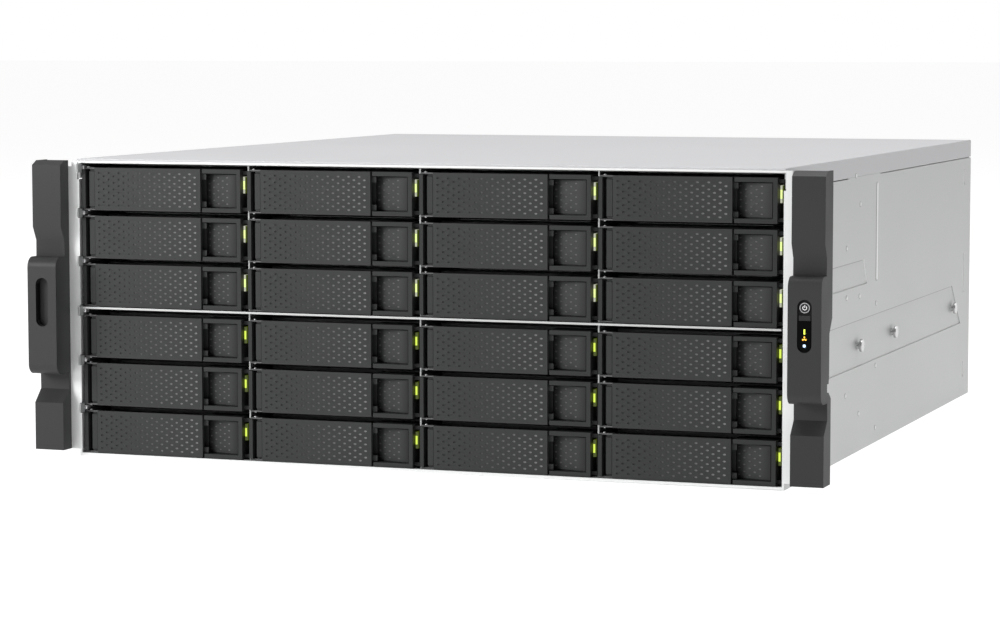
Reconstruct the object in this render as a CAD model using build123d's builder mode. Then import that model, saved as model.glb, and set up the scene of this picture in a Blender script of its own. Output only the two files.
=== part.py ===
"""A rack storage server: chassis, drive cage with levered trays, fan wall, mainboard and power supplies."""

import os
from math import cos, radians, sin

from build123d import *

os.makedirs("parts", exist_ok=True)

# All sizes are in millimetres. X runs to the right, Y to the back and Z up. The origin is at the
# middle of the bottom of the whole server, and front is the plane of the bright bars and flanges.

# Drives and the grid of bays
drive_width = 101.6
drive_length = 147.0
drive_height = 26.1
columns = 4
rows = 6
rows_below_shelf = 3
rail_thickness = 1.4
rail_play = 0.65
divider_thickness = 1.0
row_gap = 2.3
shelf_gap = 1.9
lever_gap = 3.3
first_row = 1.95
headroom = 5.2
column_pitch = drive_width + 2 * (rail_thickness + rail_play) + divider_thickness
row_pitch = drive_height + row_gap
lever_height = row_pitch - lever_gap

# Body
sheet = 1.2
wall_margin = 0.4
body_depth = 502.0
body_width = columns * column_pitch + 2 * (sheet + wall_margin)
body_height = first_row + (rows - 1) * row_pitch + shelf_gap + lever_height + headroom
ear_reach = 17.3
handle_reach = 44.0
front = (ear_reach - body_depth - handle_reach) / 2
rear = front + body_depth
wall_out = body_width / 2
wall_in = wall_out - sheet
cover_under = body_height - sheet
fit_gap = 0.2

# Rack flanges and front bars
flange_thickness = 2.0
flange_width = 23.0
flange_bottom = 4.0
flange_shoulder = 4.65
flange_neck = 3.6
top_bar_height = 1.2
bottom_bar_height = 1.8
rack_hole_radius = 3.4
rack_hole_spacing = 465.1
rack_hole_low = 21.4
rack_hole_rise = 133.35

# Side wall: seam of the top cover, pressed channels and rail studs
seam_height = 164.0
seam_gap = 0.6
seat_front = 144.0
seat_back = 226.0
lip_thickness = 1.0
lip_height = 9.5
lip_drop = 6.0
lip_gap = 1.0
press_depth = 0.6
channel_low = 51.1
channel_high = 79.0
channel_end = 472.0
channel_top_end = 443.5
band_low = 99.4
band_high = 114.4
band_end = 193.0
band_top_end = 184.3
press_start = 20.0
groove_width = 4.5
groove_place = 217.5
groove_low = 99.4
groove_high = 159.3
lock_place = 481.5
lock_width = 3.0
lock_spans = ((13.4, 23.9), (71.6, 98.7), (145.8, 156.8))
stud_height = 63.9
stud_places = (171.0, 262.4, 443.7)
stud_neck_radius = 2.4
stud_neck_length = 2.0
stud_sides = 6
stud_head_radius = 3.8
stud_head_length = 1.6

# Drive cage
divider_front = 5.0
side_plate = 0.95
shelf_thickness = 1.2
shelf_drop = 0.35
cage_roof = 1.0
cage_roof_drop = 0.9
guide_thickness = 1.2
guide_width = 1.65
guide_start = 20.0
guide_play = 0.1
tab_reach = 3.8
tab_height = 5.8
tab_back = 6.0

# Tray carrier, from the bay's centre, the front plane and the lever's lower edge
face_depth = 0.8
bezel_depth = 7.2
bezel_back = 16.0
bezel_play = 0.55
pipe_zone = 2.9
post_width = 2.2
post_depth = 1.0
lug_base = 1.1
lug_thickness = 1.0
lug_half = 1.65
pin_radius = 0.9
pin_sides = 8
pin_play = 0.05
pin_from_post = 4.0
pin_depth = 4.3
recess_width = 24.25
recess_bar = 2.5
recess_shallow = 1.8
recess_deep = 7.8
notch_width = 3.3
notch_height = 4.1
notch_depth = 5.0
window_margin = 4.0
latch_thickness = 1.0
latch_margin = 0.5
rail_low = 1.2
rail_high = 10.6
rail_overhang = 3.0
rail_bridge = 12.0
drive_place = 30.0
drive_back_gap = 9.0
drive_lift = 0.2
bar_depth = divider_front - fit_gap
drive_end = drive_place + drive_length
cage_depth = drive_end + drive_back_gap
bay_half = (column_pitch - divider_thickness) / 2
bezel_left = bezel_play - bay_half
bezel_right = bay_half - pipe_zone
pin_x = bezel_left + post_width + pin_from_post
recess_left = bezel_right - recess_width
recess_right = bezel_right - recess_bar
drive_half = drive_width / 2
lug_top = lever_height - lug_base
slope = (recess_deep - recess_shallow) / (recess_right - recess_left)

# Tray lever
panel_thickness = 2.2
panel_gap = 1.15
panel_from_pin = 2.1
knuckle_half = 1.7
knuckle_face = 1.6
knuckle_play = 0.1
web_depth = 1.8
web_thickness = 1.8
hook_reach = 5.9
hook_thickness = 0.9
hook_front = 2.2
hook_length = 4.0
tooth_height = 3.2
tooth_reach = 2.85
tooth_depth = 2.4
tooth_root = 1.05
panel_left = pin_x + panel_from_pin
panel_right = recess_left - panel_gap
panel_back = face_depth + panel_thickness

# Light pipes
lens_width = 1.6
lens_height = 9.5
lens_rise = 11.35
lens_front = 3.0
lens_length = 6.0
stem_play = 0.05
stem_width = 1.5
stem_height = 3.0

# Backplane
board_thickness = 1.8
connector_width = 33.0
connector_height = 6.0
connector_rise = 1.5
connector_shift = -3.5
connector_play = 0.3
air_slot_height = 7.0
air_slot_margin = 8.0

# Fan wall
fan_gap = 28.2
fan_count = 3
fan_size = 120.0
fan_depth = 38.0
fan_pitch = 136.0
fan_window = 112.0
fan_bore = 57.5
fan_lift = 20.0
blade_tip = 55.5
hub_radius = 21.0
hub_length = 26.0
motor_sides = 12
blades = 5
blade_thickness = 1.6
blade_chord = 24.0
blade_pitch = 38.0
blade_root = 1.5
strut_width = 4.0
strut_thickness = 3.0
strut_root = 1.0
bulkhead_height = 158.0
fan_place = cage_depth + board_thickness + fan_gap

# Mainboard
main_gap = 16.0
main_left = -48.0
main_right = 208.0
main_lift = 7.0
pcb = 1.6
standoff_radius = 3.4
standoff_sides = 6
standoff_inset = 6.0
sink_size = 78.0
sink_height = 62.0
sink_base = 6.0
sink_fins = 10
sink_margin = 22.0
fin_thickness = 1.2
memory_length = 133.0
memory_height = 30.0
memory_pitch = 9.5
memory_sticks = 4
slot_count = 4
slot_pitch = 20.32
slot_first = 100.0
slot_socket_length = 89.0
socket_width = 7.0
socket_height = 11.0
port_wall = 0.8
port_reach = 0.6
port_depth = 18.0
network_ports = 2
network_width = 16.0
network_height = 13.5
cage_ports = 2
cage_width = 14.8
cage_height = 10.4
usb_ports = 2
usb_width = 14.2
usb_height = 7.0
usb_tongue = 2.0
port_first = -34.0
port_gap = 4.0

# Power supplies
supply_width = 73.5
supply_height = 40.0
supply_length = 185.0
supply_lift = 0.3
supply_play = 0.9
supply_first = 3.4
supply_count = 2
bay_roof_play = 1.0
inlet_width = 27.0
inlet_height = 20.0
inlet_depth = 16.0
inlet_pin = 2.0
grille_radius = 16.0
grille_bar = 2.0
handle_width = 34.0
handle_bar = 5.0
handle_height = 8.0
handle_bend = 10.0
power_board_gap = 6.0
power_plug_rise = 13.5
power_plug_height = 13.5

# Rear panel
port_window_height = 16.0
vent_width = 6.0
vent_height = 40.0
vent_pitch = 14.0
vent_gap = 8.0
vent_rows = 2
vent_columns = 10
vent_rise = 24.0
slot_opening_width = 14.0
slot_opening_height = 104.0
slot_opening_low = 58.0
blank_width = 18.4
blank_margin = 4.0
blank_thickness = 0.9
blank_vents = 3

# Ear covers
ear_gap = 5.8
ear_width = 18.7
ear_wall = 2.0
skirt = 1.2
ear_bottom = 4.0
ear_top = 175.1
ear_top_chamfer = 2.6
end_block_reach = 10.0
low_block_top = 32.0
low_recess_start = 39.6
low_recess_reach = 2.5
centre_bottom = 49.4
centre_top = 118.6
centre_round = 6.0
high_recess_reach = 6.0
high_recess_end = 128.0
high_block_start = 136.1
skirt_back_high = 7.0
skirt_back_low = 1.0
skirt_back_base = 5.2
skirt_step_low = 87.0
skirt_step_high = 95.0
notch_low = 54.9
notch_high = 59.7
notch_slant = 3.6
notch_reach = 3.2
pill_width = 8.0
pill_low = 77.8
pill_high = 106.5
pill_depth = 1.0
button_radius = 2.85
button_play = 0.1
button_height = 102.1
button_travel = 1.2
button_proud = 0.4
button_stem = 1.6
button_flange = 4.2
button_rim = 1.0
window_low = 78.4
window_high = 95.0
window_thickness = 0.8
window_play = 0.25
switch_board = 1.2
switch_gap = 2.0
switch_height = 2.5

ear_in = wall_out + ear_gap
ear_out = ear_in + ear_width
ear_middle = (ear_in + ear_out) / 2


def slab(x, y, z, mode=Mode.ADD):
    """Add or cut a plate or block between pairs of limits."""
    with BuildSketch(Plane.XY.offset(z[0])) as footprint:
        with Locations(((x[0] + x[1]) / 2, (y[0] + y[1]) / 2)):
            Rectangle(x[1] - x[0], y[1] - y[0])
    extrude(footprint.sketch, amount=z[1] - z[0], mode=mode)


def prism(plane, points, amount, mode=Mode.ADD):
    """Add or cut a straight-sided profile drawn on a plane."""
    with BuildSketch(plane) as outline:
        with BuildLine():
            Polyline(*points, close=True)
        make_face()
    extrude(outline.sketch, amount=amount, mode=mode)


def rod(plane, centres, radius, amount, mode=Mode.ADD):
    """Add or cut round bosses or holes that stand on a plane."""
    with BuildSketch(plane) as outline:
        with Locations(*centres):
            Circle(radius)
    extrude(outline.sketch, amount=amount, mode=mode)


def faceted_rod(plane, centres, radius, sides, amount):
    """Add many-sided bosses, for standoffs and for small pins that repeat."""
    with BuildSketch(plane) as outline:
        with Locations(*centres):
            RegularPolygon(radius, sides)
    extrude(outline.sketch, amount=amount)


def block(x, y, z):
    """A plate or block of its own between pairs of limits."""
    with BuildPart() as piece:
        slab(x, y, z)
    return piece.part


def facing_front(y):
    """Plane across the server at a depth, drawn in X and Z, whose negative side is the back."""
    return Plane.XZ.offset(-y)


def row_bottom(row):
    """Height of the lever's lower edge in a row, counted from the top."""
    below = rows - row
    lift = shelf_gap if below >= rows_below_shelf else 0
    return first_row + below * row_pitch + lift


def column_centre(column):
    """Middle of a column of bays, counted from the left."""
    return (column - (columns + 1) / 2) * column_pitch


def junction_height(row):
    """Middle of the gap over a row, where the strike tabs and the lever hooks are."""
    low = row_bottom(row) + lever_height
    high = cover_under - top_bar_height if row == 1 else row_bottom(row - 1)
    return (low + high) / 2


def write(pieces, name):
    """Label one node, which may hold several solids, and write its file."""
    node = Compound([solid for piece in pieces for solid in piece.solids()], label=name)
    export_step(node, f"parts/{name}.step")


def placed(pieces, place):
    """Copies of finished pieces at another place."""
    return [solid.moved(Location(place)) for piece in pieces for solid in piece.solids()]


# Tray carrier


def make_carrier():
    """Moulded carrier: bezel with hinge and finger recess, and the two rails that hold the drive."""
    with BuildPart() as carrier:
        slab((bezel_left, recess_left), (bezel_depth, bezel_back), (lug_base, lug_top))
        slab((bezel_left, bezel_left + post_width), (post_depth, bezel_depth), (lug_base, lug_top))
        slab((recess_left, bezel_right), (face_depth, bezel_back), (0, lever_height))
        prism(
            Plane.XY.offset(recess_bar),
            (
                (recess_left, 0),
                (recess_right, 0),
                (recess_right, face_depth + recess_shallow),
                (recess_left, face_depth + recess_deep),
            ),
            lever_height - 2 * recess_bar,
            Mode.SUBTRACT,
        )
        recess_floor = face_depth + recess_deep
        notch_y = (recess_floor - notch_width * slope - latch_thickness, recess_floor + notch_depth)
        for low in (recess_bar, lever_height - recess_bar - notch_height):
            slab((recess_left, recess_left + notch_width), notch_y, (low, low + notch_height), Mode.SUBTRACT)
        make_hinge()
        window_x = (bezel_left + post_width + window_margin, recess_left - window_margin)
        window_z = (lug_base + window_margin, lug_top - window_margin)
        slab(window_x, (bezel_depth, bezel_back), window_z, Mode.SUBTRACT)
        slab((bezel_right, drive_half + rail_thickness), (rail_bridge, bezel_back), (rail_low, rail_high))
        for side in (-1, 1):
            rail = sorted((side * drive_half, side * (drive_half + rail_thickness)))
            slab(rail, (bezel_back, drive_end + rail_overhang), (rail_low, rail_high))
    return carrier.part


def make_hinge():
    """Two lugs on the bezel, above and below the lever's knuckle, and the pin that runs between them."""
    inner = (lug_base + lug_thickness, lug_top - lug_thickness)
    for low in (lug_base, inner[1]):
        lug_x = (pin_x - lug_half, pin_x + lug_half)
        slab(lug_x, (pin_depth - lug_half, bezel_depth), (low, low + lug_thickness))
    faceted_rod(Plane.XY.offset(inner[0]), [(pin_x, pin_depth)], pin_radius, pin_sides, inner[1] - inner[0])


def make_drive():
    """Drive between the carrier's rails."""
    drive_z = (drive_lift, drive_lift + drive_height)
    return block((-drive_half, drive_half), (drive_place, drive_end), drive_z)


def make_release_latch():
    """Sloping plate in the finger recess that is pressed to let the lever go."""
    left = recess_left + notch_width + latch_margin
    right = recess_right - latch_margin
    low = recess_bar + latch_margin

    def floor(x):
        return face_depth + recess_deep - (x - recess_left) * slope

    with BuildPart() as latch:
        prism(
            Plane.XY.offset(low),
            (
                (left, floor(left)),
                (left, floor(left) - latch_thickness),
                (right, floor(right) - latch_thickness),
                (right, floor(right)),
            ),
            lever_height - 2 * low,
        )
    return latch.part


# Tray lever


def make_lever():
    """Hinged lever: face panel, knuckle, hook plates over and under the lugs, and two catch teeth."""
    knuckle_low = lug_base + lug_thickness + knuckle_play
    knuckle_high = lever_height - knuckle_low
    with BuildPart() as lever:
        slab((panel_left, panel_right), (face_depth, panel_back), (0, lever_height))
        knuckle_x = (pin_x - knuckle_half, pin_x + knuckle_half)
        slab(knuckle_x, (knuckle_face, pin_depth + knuckle_half), (knuckle_low, knuckle_high))
        web_y = (web_depth, web_depth + web_thickness)
        slab((pin_x + pin_radius + 2 * pin_play, panel_left + fit_gap), web_y, (knuckle_low, knuckle_high))
        for low in (0, lever_height - hook_thickness):
            hook_x = (pin_x - hook_reach, panel_left + fit_gap)
            slab(hook_x, (hook_front, hook_front + hook_length), (low, low + hook_thickness))
        for low in (recess_bar + latch_margin, lever_height - recess_bar - latch_margin - tooth_height):
            tooth_x = (panel_right - tooth_root, panel_right + tooth_reach)
            slab(tooth_x, (panel_back, panel_back + tooth_depth), (low, low + tooth_height))
        eye = pin_radius + pin_play
        eye_y = (pin_depth - eye, pin_depth + eye)
        slab((pin_x - eye, pin_x + eye), eye_y, (knuckle_low, knuckle_high), Mode.SUBTRACT)
    return lever.part


# Chassis


def make_tub():
    """Floor, front bars, side walls with their studs, rack flanges, rear panel and supply bay, as welded."""
    bar_y = (front, front + bar_depth)
    pieces = [
        block((-wall_in, wall_in), (front, rear), (0, sheet)),
        block((-wall_in, wall_in), bar_y, (sheet, bottom_bar_height)),
        make_top_bar(),
    ]
    for side in (-1, 1):
        pieces += [make_side_wall(side), make_flange(side), make_studs(side)]
    return pieces + make_rear_panel() + make_supply_bay()


def make_top_bar():
    """Bar over the top row, which reaches over the front edges of the side walls."""
    bar_z = (cover_under - top_bar_height, cover_under)
    with BuildPart() as bar:
        slab((-wall_out, wall_out), (front, front + flange_thickness), bar_z)
        slab((-wall_in, wall_in), (front, front + bar_depth), bar_z)
    return bar.part


def outward(side, near, far):
    """X limits between two distances from the middle, on the left or the right."""
    return tuple(sorted((side * near, side * far)))


def make_side_wall(side):
    """One side wall with its pressings, the shoulder that the top cover seats on and the lip inside it."""
    wall = outward(side, wall_in, wall_out)
    lip = outward(side, wall_in - lip_thickness, wall_in)
    lip_z = (seam_height - lip_drop, seam_height + lip_height)
    with BuildPart() as plate:
        slab(wall, (front, rear), (0, seam_height))
        slab(wall, (front + seat_front, front + seat_back), (seam_height, seam_height + seam_gap))
        slab(lip, (front + cage_depth + lip_gap, rear - sheet), lip_z)
        press_side_wall(side)
    return plate.part


def make_flange(side):
    """Rack flange at the front, with its neck up to the top bar and its two rack holes."""
    flange_top = cover_under - flange_shoulder + top_bar_height
    outer = wall_out + flange_width
    flange_y = (front, front + flange_thickness)
    x = side * rack_hole_spacing / 2
    holes = [(x, rack_hole_low), (x, rack_hole_low + rack_hole_rise)]
    with BuildPart() as flange:
        slab(outward(side, wall_out, outer), flange_y, (flange_bottom, flange_top))
        slab(outward(side, wall_out, wall_out + flange_neck), flange_y, (flange_top, cover_under))
        rod(facing_front(front), holes, rack_hole_radius, -flange_thickness, Mode.SUBTRACT)
    return flange.part


def press_side_wall(side):
    """Press the rail channel, the band and the grooves into one side wall."""
    outside = Plane.YZ.offset(side * wall_out)
    inward = -side * press_depth
    channel = (
        (front + press_start, channel_low),
        (front + channel_end, channel_low),
        (front + channel_top_end, channel_high),
        (front + press_start, channel_high),
    )
    band = (
        (front + press_start, band_low),
        (front + band_end, band_low),
        (front + band_top_end, band_high),
        (front + press_start, band_high),
    )
    prism(outside, channel, inward, Mode.SUBTRACT)
    prism(outside, band, inward, Mode.SUBTRACT)
    pressed = outward(side, wall_out - press_depth, wall_out)
    spans = [(groove_place, groove_width, groove_low, groove_high)]
    spans += [(lock_place, lock_width, low, high) for low, high in lock_spans]
    for place, width, low, high in spans:
        middle = front + place
        slab(pressed, (middle - width / 2, middle + width / 2), (low, high), Mode.SUBTRACT)


def make_studs(side):
    """Headed studs in the channel of one side wall, which the slide rail's keyholes hang on."""
    channel_floor = side * (wall_out - press_depth)
    centres = [(front + place, stud_height) for place in stud_places]
    with BuildPart() as studs:
        neck = Plane.YZ.offset(channel_floor)
        faceted_rod(neck, centres, stud_neck_radius, stud_sides, side * stud_neck_length)
        head = Plane.YZ.offset(channel_floor + side * stud_neck_length)
        rod(head, centres, stud_head_radius, side * stud_head_length)
    return studs.part


def supply_left(number):
    """Left side of a power supply, counted from the left."""
    return supply_first - wall_in + number * (supply_width + 2 * supply_play + sheet)


def supply_right_side():
    """Right side of the last power supply."""
    return supply_left(supply_count - 1) + supply_width


def make_rear_panel():
    """Rear panel: the plate with slots and vents, and the posts and bands round the supplies and ports."""
    panel_y = (rear - sheet, rear)
    top = sheet + supply_lift + supply_height + fit_gap
    board_low = main_lift + pcb / 2
    ports = (port_first - port_gap, port_last() + port_gap)
    openings = [
        (supply_left(number) - fit_gap, supply_left(number) + supply_width + fit_gap)
        for number in range(supply_count)
    ]
    openings.append(ports)
    pieces = [make_upper_panel(top)]
    pieces.append(block(ports, panel_y, (sheet, board_low)))
    pieces.append(block(ports, panel_y, (board_low + port_window_height, top)))
    start = -wall_in
    for left, right in openings + [(wall_in, wall_in)]:
        pieces.append(block((start, left), panel_y, (sheet, top)))
        start = right
    return pieces


def make_upper_panel(low):
    """Rear plate over the supplies and ports, with its openings for expansion slots and air."""
    slot_x = [slot_first + number * slot_pitch for number in range(slot_count)]
    step = vent_height + vent_gap
    vent_x = (supply_left(0) + supply_right_side()) / 2
    vent_z = low + vent_rise + (vent_rows - 1) * step / 2
    with BuildPart() as plate:
        with BuildSketch(facing_front(rear - sheet)) as panel:
            with Locations((0, (low + cover_under) / 2)):
                Rectangle(2 * wall_in, cover_under - low)
            with Locations(*[(x, slot_opening_low + slot_opening_height / 2) for x in slot_x]):
                Rectangle(slot_opening_width, slot_opening_height, mode=Mode.SUBTRACT)
            with Locations((vent_x, vent_z)):
                with GridLocations(vent_pitch, step, vent_columns, vent_rows):
                    Rectangle(vent_width, vent_height, mode=Mode.SUBTRACT)
        extrude(panel.sketch, amount=-sheet)
    return plate.part


def make_supply_bay():
    """Sheet bay around the power supplies: partitions between them and a roof."""
    roof = sheet + supply_lift + supply_height + bay_roof_play
    inside = (rear - supply_length, rear - sheet)
    pieces = []
    for number in range(1, supply_count + 1):
        x = supply_left(number) - supply_play - sheet
        pieces.append(block((x, x + sheet), inside, (sheet, roof)))
    roof_x = (-wall_in, supply_right_side() + supply_play + sheet)
    pieces.append(block(roof_x, inside, (roof, roof + sheet)))
    return pieces


def make_slot_blanks():
    """Vented blanks that close the expansion slots, screwed to the inside of the rear panel."""
    back = rear - sheet
    with BuildPart() as blanks:
        for number in range(slot_count):
            x = slot_first + number * slot_pitch
            z = (slot_opening_low - blank_margin, slot_opening_low + slot_opening_height + blank_margin)
            slab((x - blank_width / 2, x + blank_width / 2), (back - blank_thickness, back), z)
        step = slot_opening_height / blank_vents
        middle = (slot_first + (slot_count - 1) * slot_pitch / 2, slot_opening_low + slot_opening_height / 2)
        with BuildSketch(facing_front(back - blank_thickness)) as vents:
            with Locations(middle):
                with GridLocations(slot_pitch, step, slot_count, blank_vents):
                    Rectangle(vent_width, step - blank_margin)
        extrude(vents.sketch, amount=-blank_thickness, mode=Mode.SUBTRACT)
    return blanks.part


def make_top_cover():
    """Flat lid with a flange down each side, flush with the side walls."""
    low = seam_height + seam_gap
    with BuildPart() as cover:
        slab((-wall_out, wall_out), (front, rear), (cover_under, body_height))
        for side in (-1, 1):
            flange = outward(side, wall_in + fit_gap, wall_out)
            slab(flange, (front + flange_thickness + fit_gap, rear), (low, cover_under))
    return cover.part


# Drive cage


def make_drive_cage():
    """Dividers and side plates with tray guides, the mid shelf, the roof and the strike tabs."""
    plate_in = wall_in - side_plate
    roof_top = cover_under - cage_roof_drop
    depth = (front + divider_front, front + cage_depth)
    shelf = shelf_limits()
    across = (-plate_in, plate_in)
    pieces = [
        block(across, depth, (roof_top - cage_roof, roof_top)),
        block(across, (front, front + cage_depth), shelf),
    ]
    halves = (
        ((shelf[1], roof_top - cage_roof), range(1, rows - rows_below_shelf + 1)),
        ((sheet, shelf[0]), range(rows - rows_below_shelf + 1, rows + 1)),
    )
    for column in range(1, columns):
        x = column_centre(column) + column_pitch / 2
        for z, own_rows in halves:
            half = divider_thickness / 2
            pieces.append(make_divider((x - half, x + half), depth, z, own_rows, (-1, 1)))
    for side in (-1, 1):
        pieces.append(make_side_plate(side, plate_in, depth, roof_top))
    return pieces


def make_divider(x, y, z, own_rows, sides):
    """Upright plate with a ledge under every tray beside it, on one side or both."""
    with BuildPart() as divider:
        slab(x, y, z)
        for row in own_rows:
            ledge_top = row_bottom(row) + rail_low - guide_play
            ledge_z = (ledge_top - guide_thickness, ledge_top)
            ledge_y = (front + guide_start, y[1])
            left = x[0] - guide_width if -1 in sides else x[0]
            right = x[1] + guide_width if 1 in sides else x[1]
            slab((left, right), ledge_y, ledge_z)
    return divider.part


def make_side_plate(side, plate_in, y, top):
    """Outer plate of the cage with its ledges, and on the left with the strike tabs of the levers."""
    x = outward(side, plate_in, wall_in)
    with BuildPart() as plate:
        add(make_divider(x, y, (sheet, top), range(1, rows + 1), (-side,)))
        if side < 0:
            for row in range(1, rows + 1):
                middle = junction_height(row)
                tab = (middle - tab_height / 2, min(middle + tab_height / 2, top - cage_roof))
                slab(x, (front - tab_reach, front + tab_back), tab)
    return plate.part


def shelf_limits():
    """Heights of the mid shelf, just under the row of trays that stands over it."""
    top = row_bottom(rows - rows_below_shelf) - shelf_drop
    return (top - shelf_thickness, top)


def make_light_pipe():
    """Clear pipe from the backplane to a lens at the right of a tray."""
    right = bay_half - stem_play
    lens_left = drive_half + fit_gap
    middle = lens_rise + lens_height / 2
    with BuildPart() as pipe:
        lens_y = (lens_front, lens_front + lens_length)
        slab((lens_left, lens_left + lens_width), lens_y, (lens_rise, lens_rise + lens_height))
        stem_z = (middle - stem_height / 2, middle + stem_height / 2)
        slab((right - stem_width, right), (divider_front, cage_depth), stem_z)
    return pipe.part


def make_status_window():
    """Dark lens over the indicators under the power button."""
    radius = pill_width / 2 - window_play
    with BuildPart() as window:
        with BuildSketch(facing_front(front - ear_reach + pill_depth)) as outline:
            with Locations((ear_middle, (window_low + window_high) / 2)):
                Rectangle(2 * radius, window_high - window_low)
            fillet(outline.vertices().group_by(Axis.Y)[0], radius - stem_play)
        extrude(outline.sketch, amount=window_thickness)
    return window.part


# Backplane and fans


def make_backplane():
    """Circuit board behind the drives, with a connector for each and air slots between the rows."""
    near = front + cage_depth
    half = wall_in - sheet
    low, high = sheet + fit_gap, cover_under - row_gap
    plugs = []
    slots = []
    for row in range(1, rows + 1):
        for column in range(1, columns + 1):
            middle = column_centre(column)
            plugs.append((middle + connector_shift, row_bottom(row) + connector_rise + connector_height / 2))
            slots.append((middle, row_bottom(row) + drive_height - air_slot_height / 2))
    with BuildPart() as backplane:
        with BuildSketch(facing_front(near)) as board:
            with Locations((0, (low + high) / 2)):
                Rectangle(2 * half, high - low)
            with Locations(*slots):
                Rectangle(2 * (bay_half - air_slot_margin), air_slot_height, mode=Mode.SUBTRACT)
        extrude(board.sketch, amount=-board_thickness)
        with BuildSketch(facing_front(near)) as connectors:
            with Locations(*plugs):
                Rectangle(connector_width, connector_height)
        extrude(connectors.sketch, amount=drive_back_gap - connector_play)
    return backplane.part


def fan_centre(number):
    """Middle of a fan in X and Z, counted from the left."""
    return ((number - (fan_count - 1) / 2) * fan_pitch, fan_lift + fan_size / 2)


def make_bulkhead():
    """Sheet bulkhead across the chassis, with a square window for each fan that is screwed to it."""
    near = front + fan_place
    half = wall_in - lip_thickness - fit_gap
    with BuildPart() as bulkhead:
        slab((-half, half), (near, near + sheet), (sheet, bulkhead_height))
        for number in range(fan_count):
            x, z = fan_centre(number)
            reach = fan_window / 2
            slab((x - reach, x + reach), (near, near + sheet), (z - reach, z + reach), Mode.SUBTRACT)
    return bulkhead.part


def make_fan_housing(number):
    """Square fan frame with its round bore, and the four struts that carry the motor."""
    x, z = fan_centre(number)
    near = front + fan_place + sheet
    half = fan_size / 2
    back = (near + fan_depth - strut_thickness, near + fan_depth)
    with BuildPart() as housing:
        slab((x - half, x + half), (near, near + fan_depth), (z - half, z + half))
        rod(facing_front(near), [(x, z)], fan_bore, -fan_depth, Mode.SUBTRACT)
        faceted_rod(facing_front(back[0]), [(x, z)], hub_radius, motor_sides, -strut_thickness)
        reach = fan_bore + strut_root
        narrow = strut_width / 2
        slab((x - reach, x + reach), back, (z - narrow, z + narrow))
        slab((x - narrow, x + narrow), back, (z - reach, z + reach))
    return housing.part


def make_rotor(number):
    """Fan rotor: motor hub with pitched blades."""
    x, z = fan_centre(number)
    hub_back = front + fan_place + sheet + fan_depth - strut_thickness - fit_gap
    middle = Vector(x, hub_back - hub_length / 2, z)
    root = hub_radius - blade_root
    with BuildPart() as rotor:
        rod(facing_front(hub_back - hub_length), [(x, z)], hub_radius, -hub_length)
        for step in range(blades):
            turn = radians(360 * step / blades)
            radial = Vector(cos(turn), 0, sin(turn))
            tangent = Vector(-sin(turn), 0, cos(turn))
            chord = tangent * cos(radians(blade_pitch)) + Vector(0, sin(radians(blade_pitch)), 0)
            with BuildSketch(Plane(origin=middle + radial * root, x_dir=chord, z_dir=radial)) as blade:
                Rectangle(blade_chord, blade_thickness)
            extrude(blade.sketch, amount=blade_tip - root)
    return rotor.part


# Mainboard and ports


def port_spans():
    """Left side, width, height and kind of each rear port, from left to right."""
    kinds = (
        (network_ports, network_width, network_height, "network"),
        (cage_ports, cage_width, cage_height, "cage"),
        (usb_ports, usb_width, usb_height, "usb"),
    )
    spans = []
    x = port_first
    for count, width, height, kind in kinds:
        for _ in range(count):
            spans.append((x, width, height, kind))
            x += width + port_gap
    return spans


def port_last():
    """Right side of the last rear port."""
    x, width, _, _ = port_spans()[-1]
    return x + width


def make_mainboard():
    """Board with its standoffs, heatsink, memory, expansion sockets and rear ports."""
    top = main_lift + pcb
    near = front + fan_place + sheet + fan_depth + main_gap
    far = rear - sheet - fit_gap
    feet = [
        (x, y)
        for x in (main_left + standoff_inset, main_right - standoff_inset)
        for y in (near + standoff_inset, (near + far) / 2, far - standoff_inset)
    ]
    with BuildPart() as standoffs:
        faceted_rod(Plane.XY.offset(sheet), feet, standoff_radius, standoff_sides, main_lift - sheet)
    board = block((main_left, main_right), (near, far), (main_lift, top))
    return [board, standoffs.part] + make_board_parts(near, top) + make_ports(top)


def make_ports(top):
    """Shells of the network, cage and USB ports, open at the back."""
    port_y = (rear + port_reach - port_depth, rear + port_reach)
    hollow = (port_y[0] + port_wall, port_y[1])
    pieces = []
    for x, width, height, kind in port_spans():
        inside = (x + port_wall, x + width - port_wall)
        ceiling = top + height - port_wall
        with BuildPart() as port:
            slab((x, x + width), port_y, (top, top + height))
            slab(inside, hollow, (top + port_wall, ceiling), Mode.SUBTRACT)
            if kind == "usb":
                slab((x + 2 * port_wall, x + width - 2 * port_wall), hollow, (ceiling - usb_tongue, ceiling))
        pieces.append(port.part)
    return pieces


def make_board_parts(near, top):
    """Finned heatsink, memory sticks and expansion sockets that stand on the board."""
    sink_x = main_left + sink_margin
    sink_y = (near + sink_margin, near + sink_margin + sink_size)
    pitch = (sink_size - fin_thickness) / (sink_fins - 1)
    with BuildPart() as sink:
        slab((sink_x, sink_x + sink_size), sink_y, (top, top + sink_base))
        for fin in range(sink_fins):
            x = sink_x + fin * pitch
            slab((x, x + fin_thickness), sink_y, (top + sink_base, top + sink_height))
    pieces = [sink.part]
    memory_y = (sink_y[0], sink_y[0] + memory_length)
    for stick in range(memory_sticks):
        x = sink_x + sink_size + (stick + 1) * memory_pitch
        pieces.append(block((x, x + fin_thickness), memory_y, (top, top + memory_height)))
    socket_back = rear - sheet - port_depth
    for number in range(slot_count):
        x = slot_first + number * slot_pitch
        span = (x - socket_width / 2, x + socket_width / 2)
        socket_y = (socket_back - slot_socket_length, socket_back)
        pieces.append(block(span, socket_y, (top, top + socket_height)))
    return pieces


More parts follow.
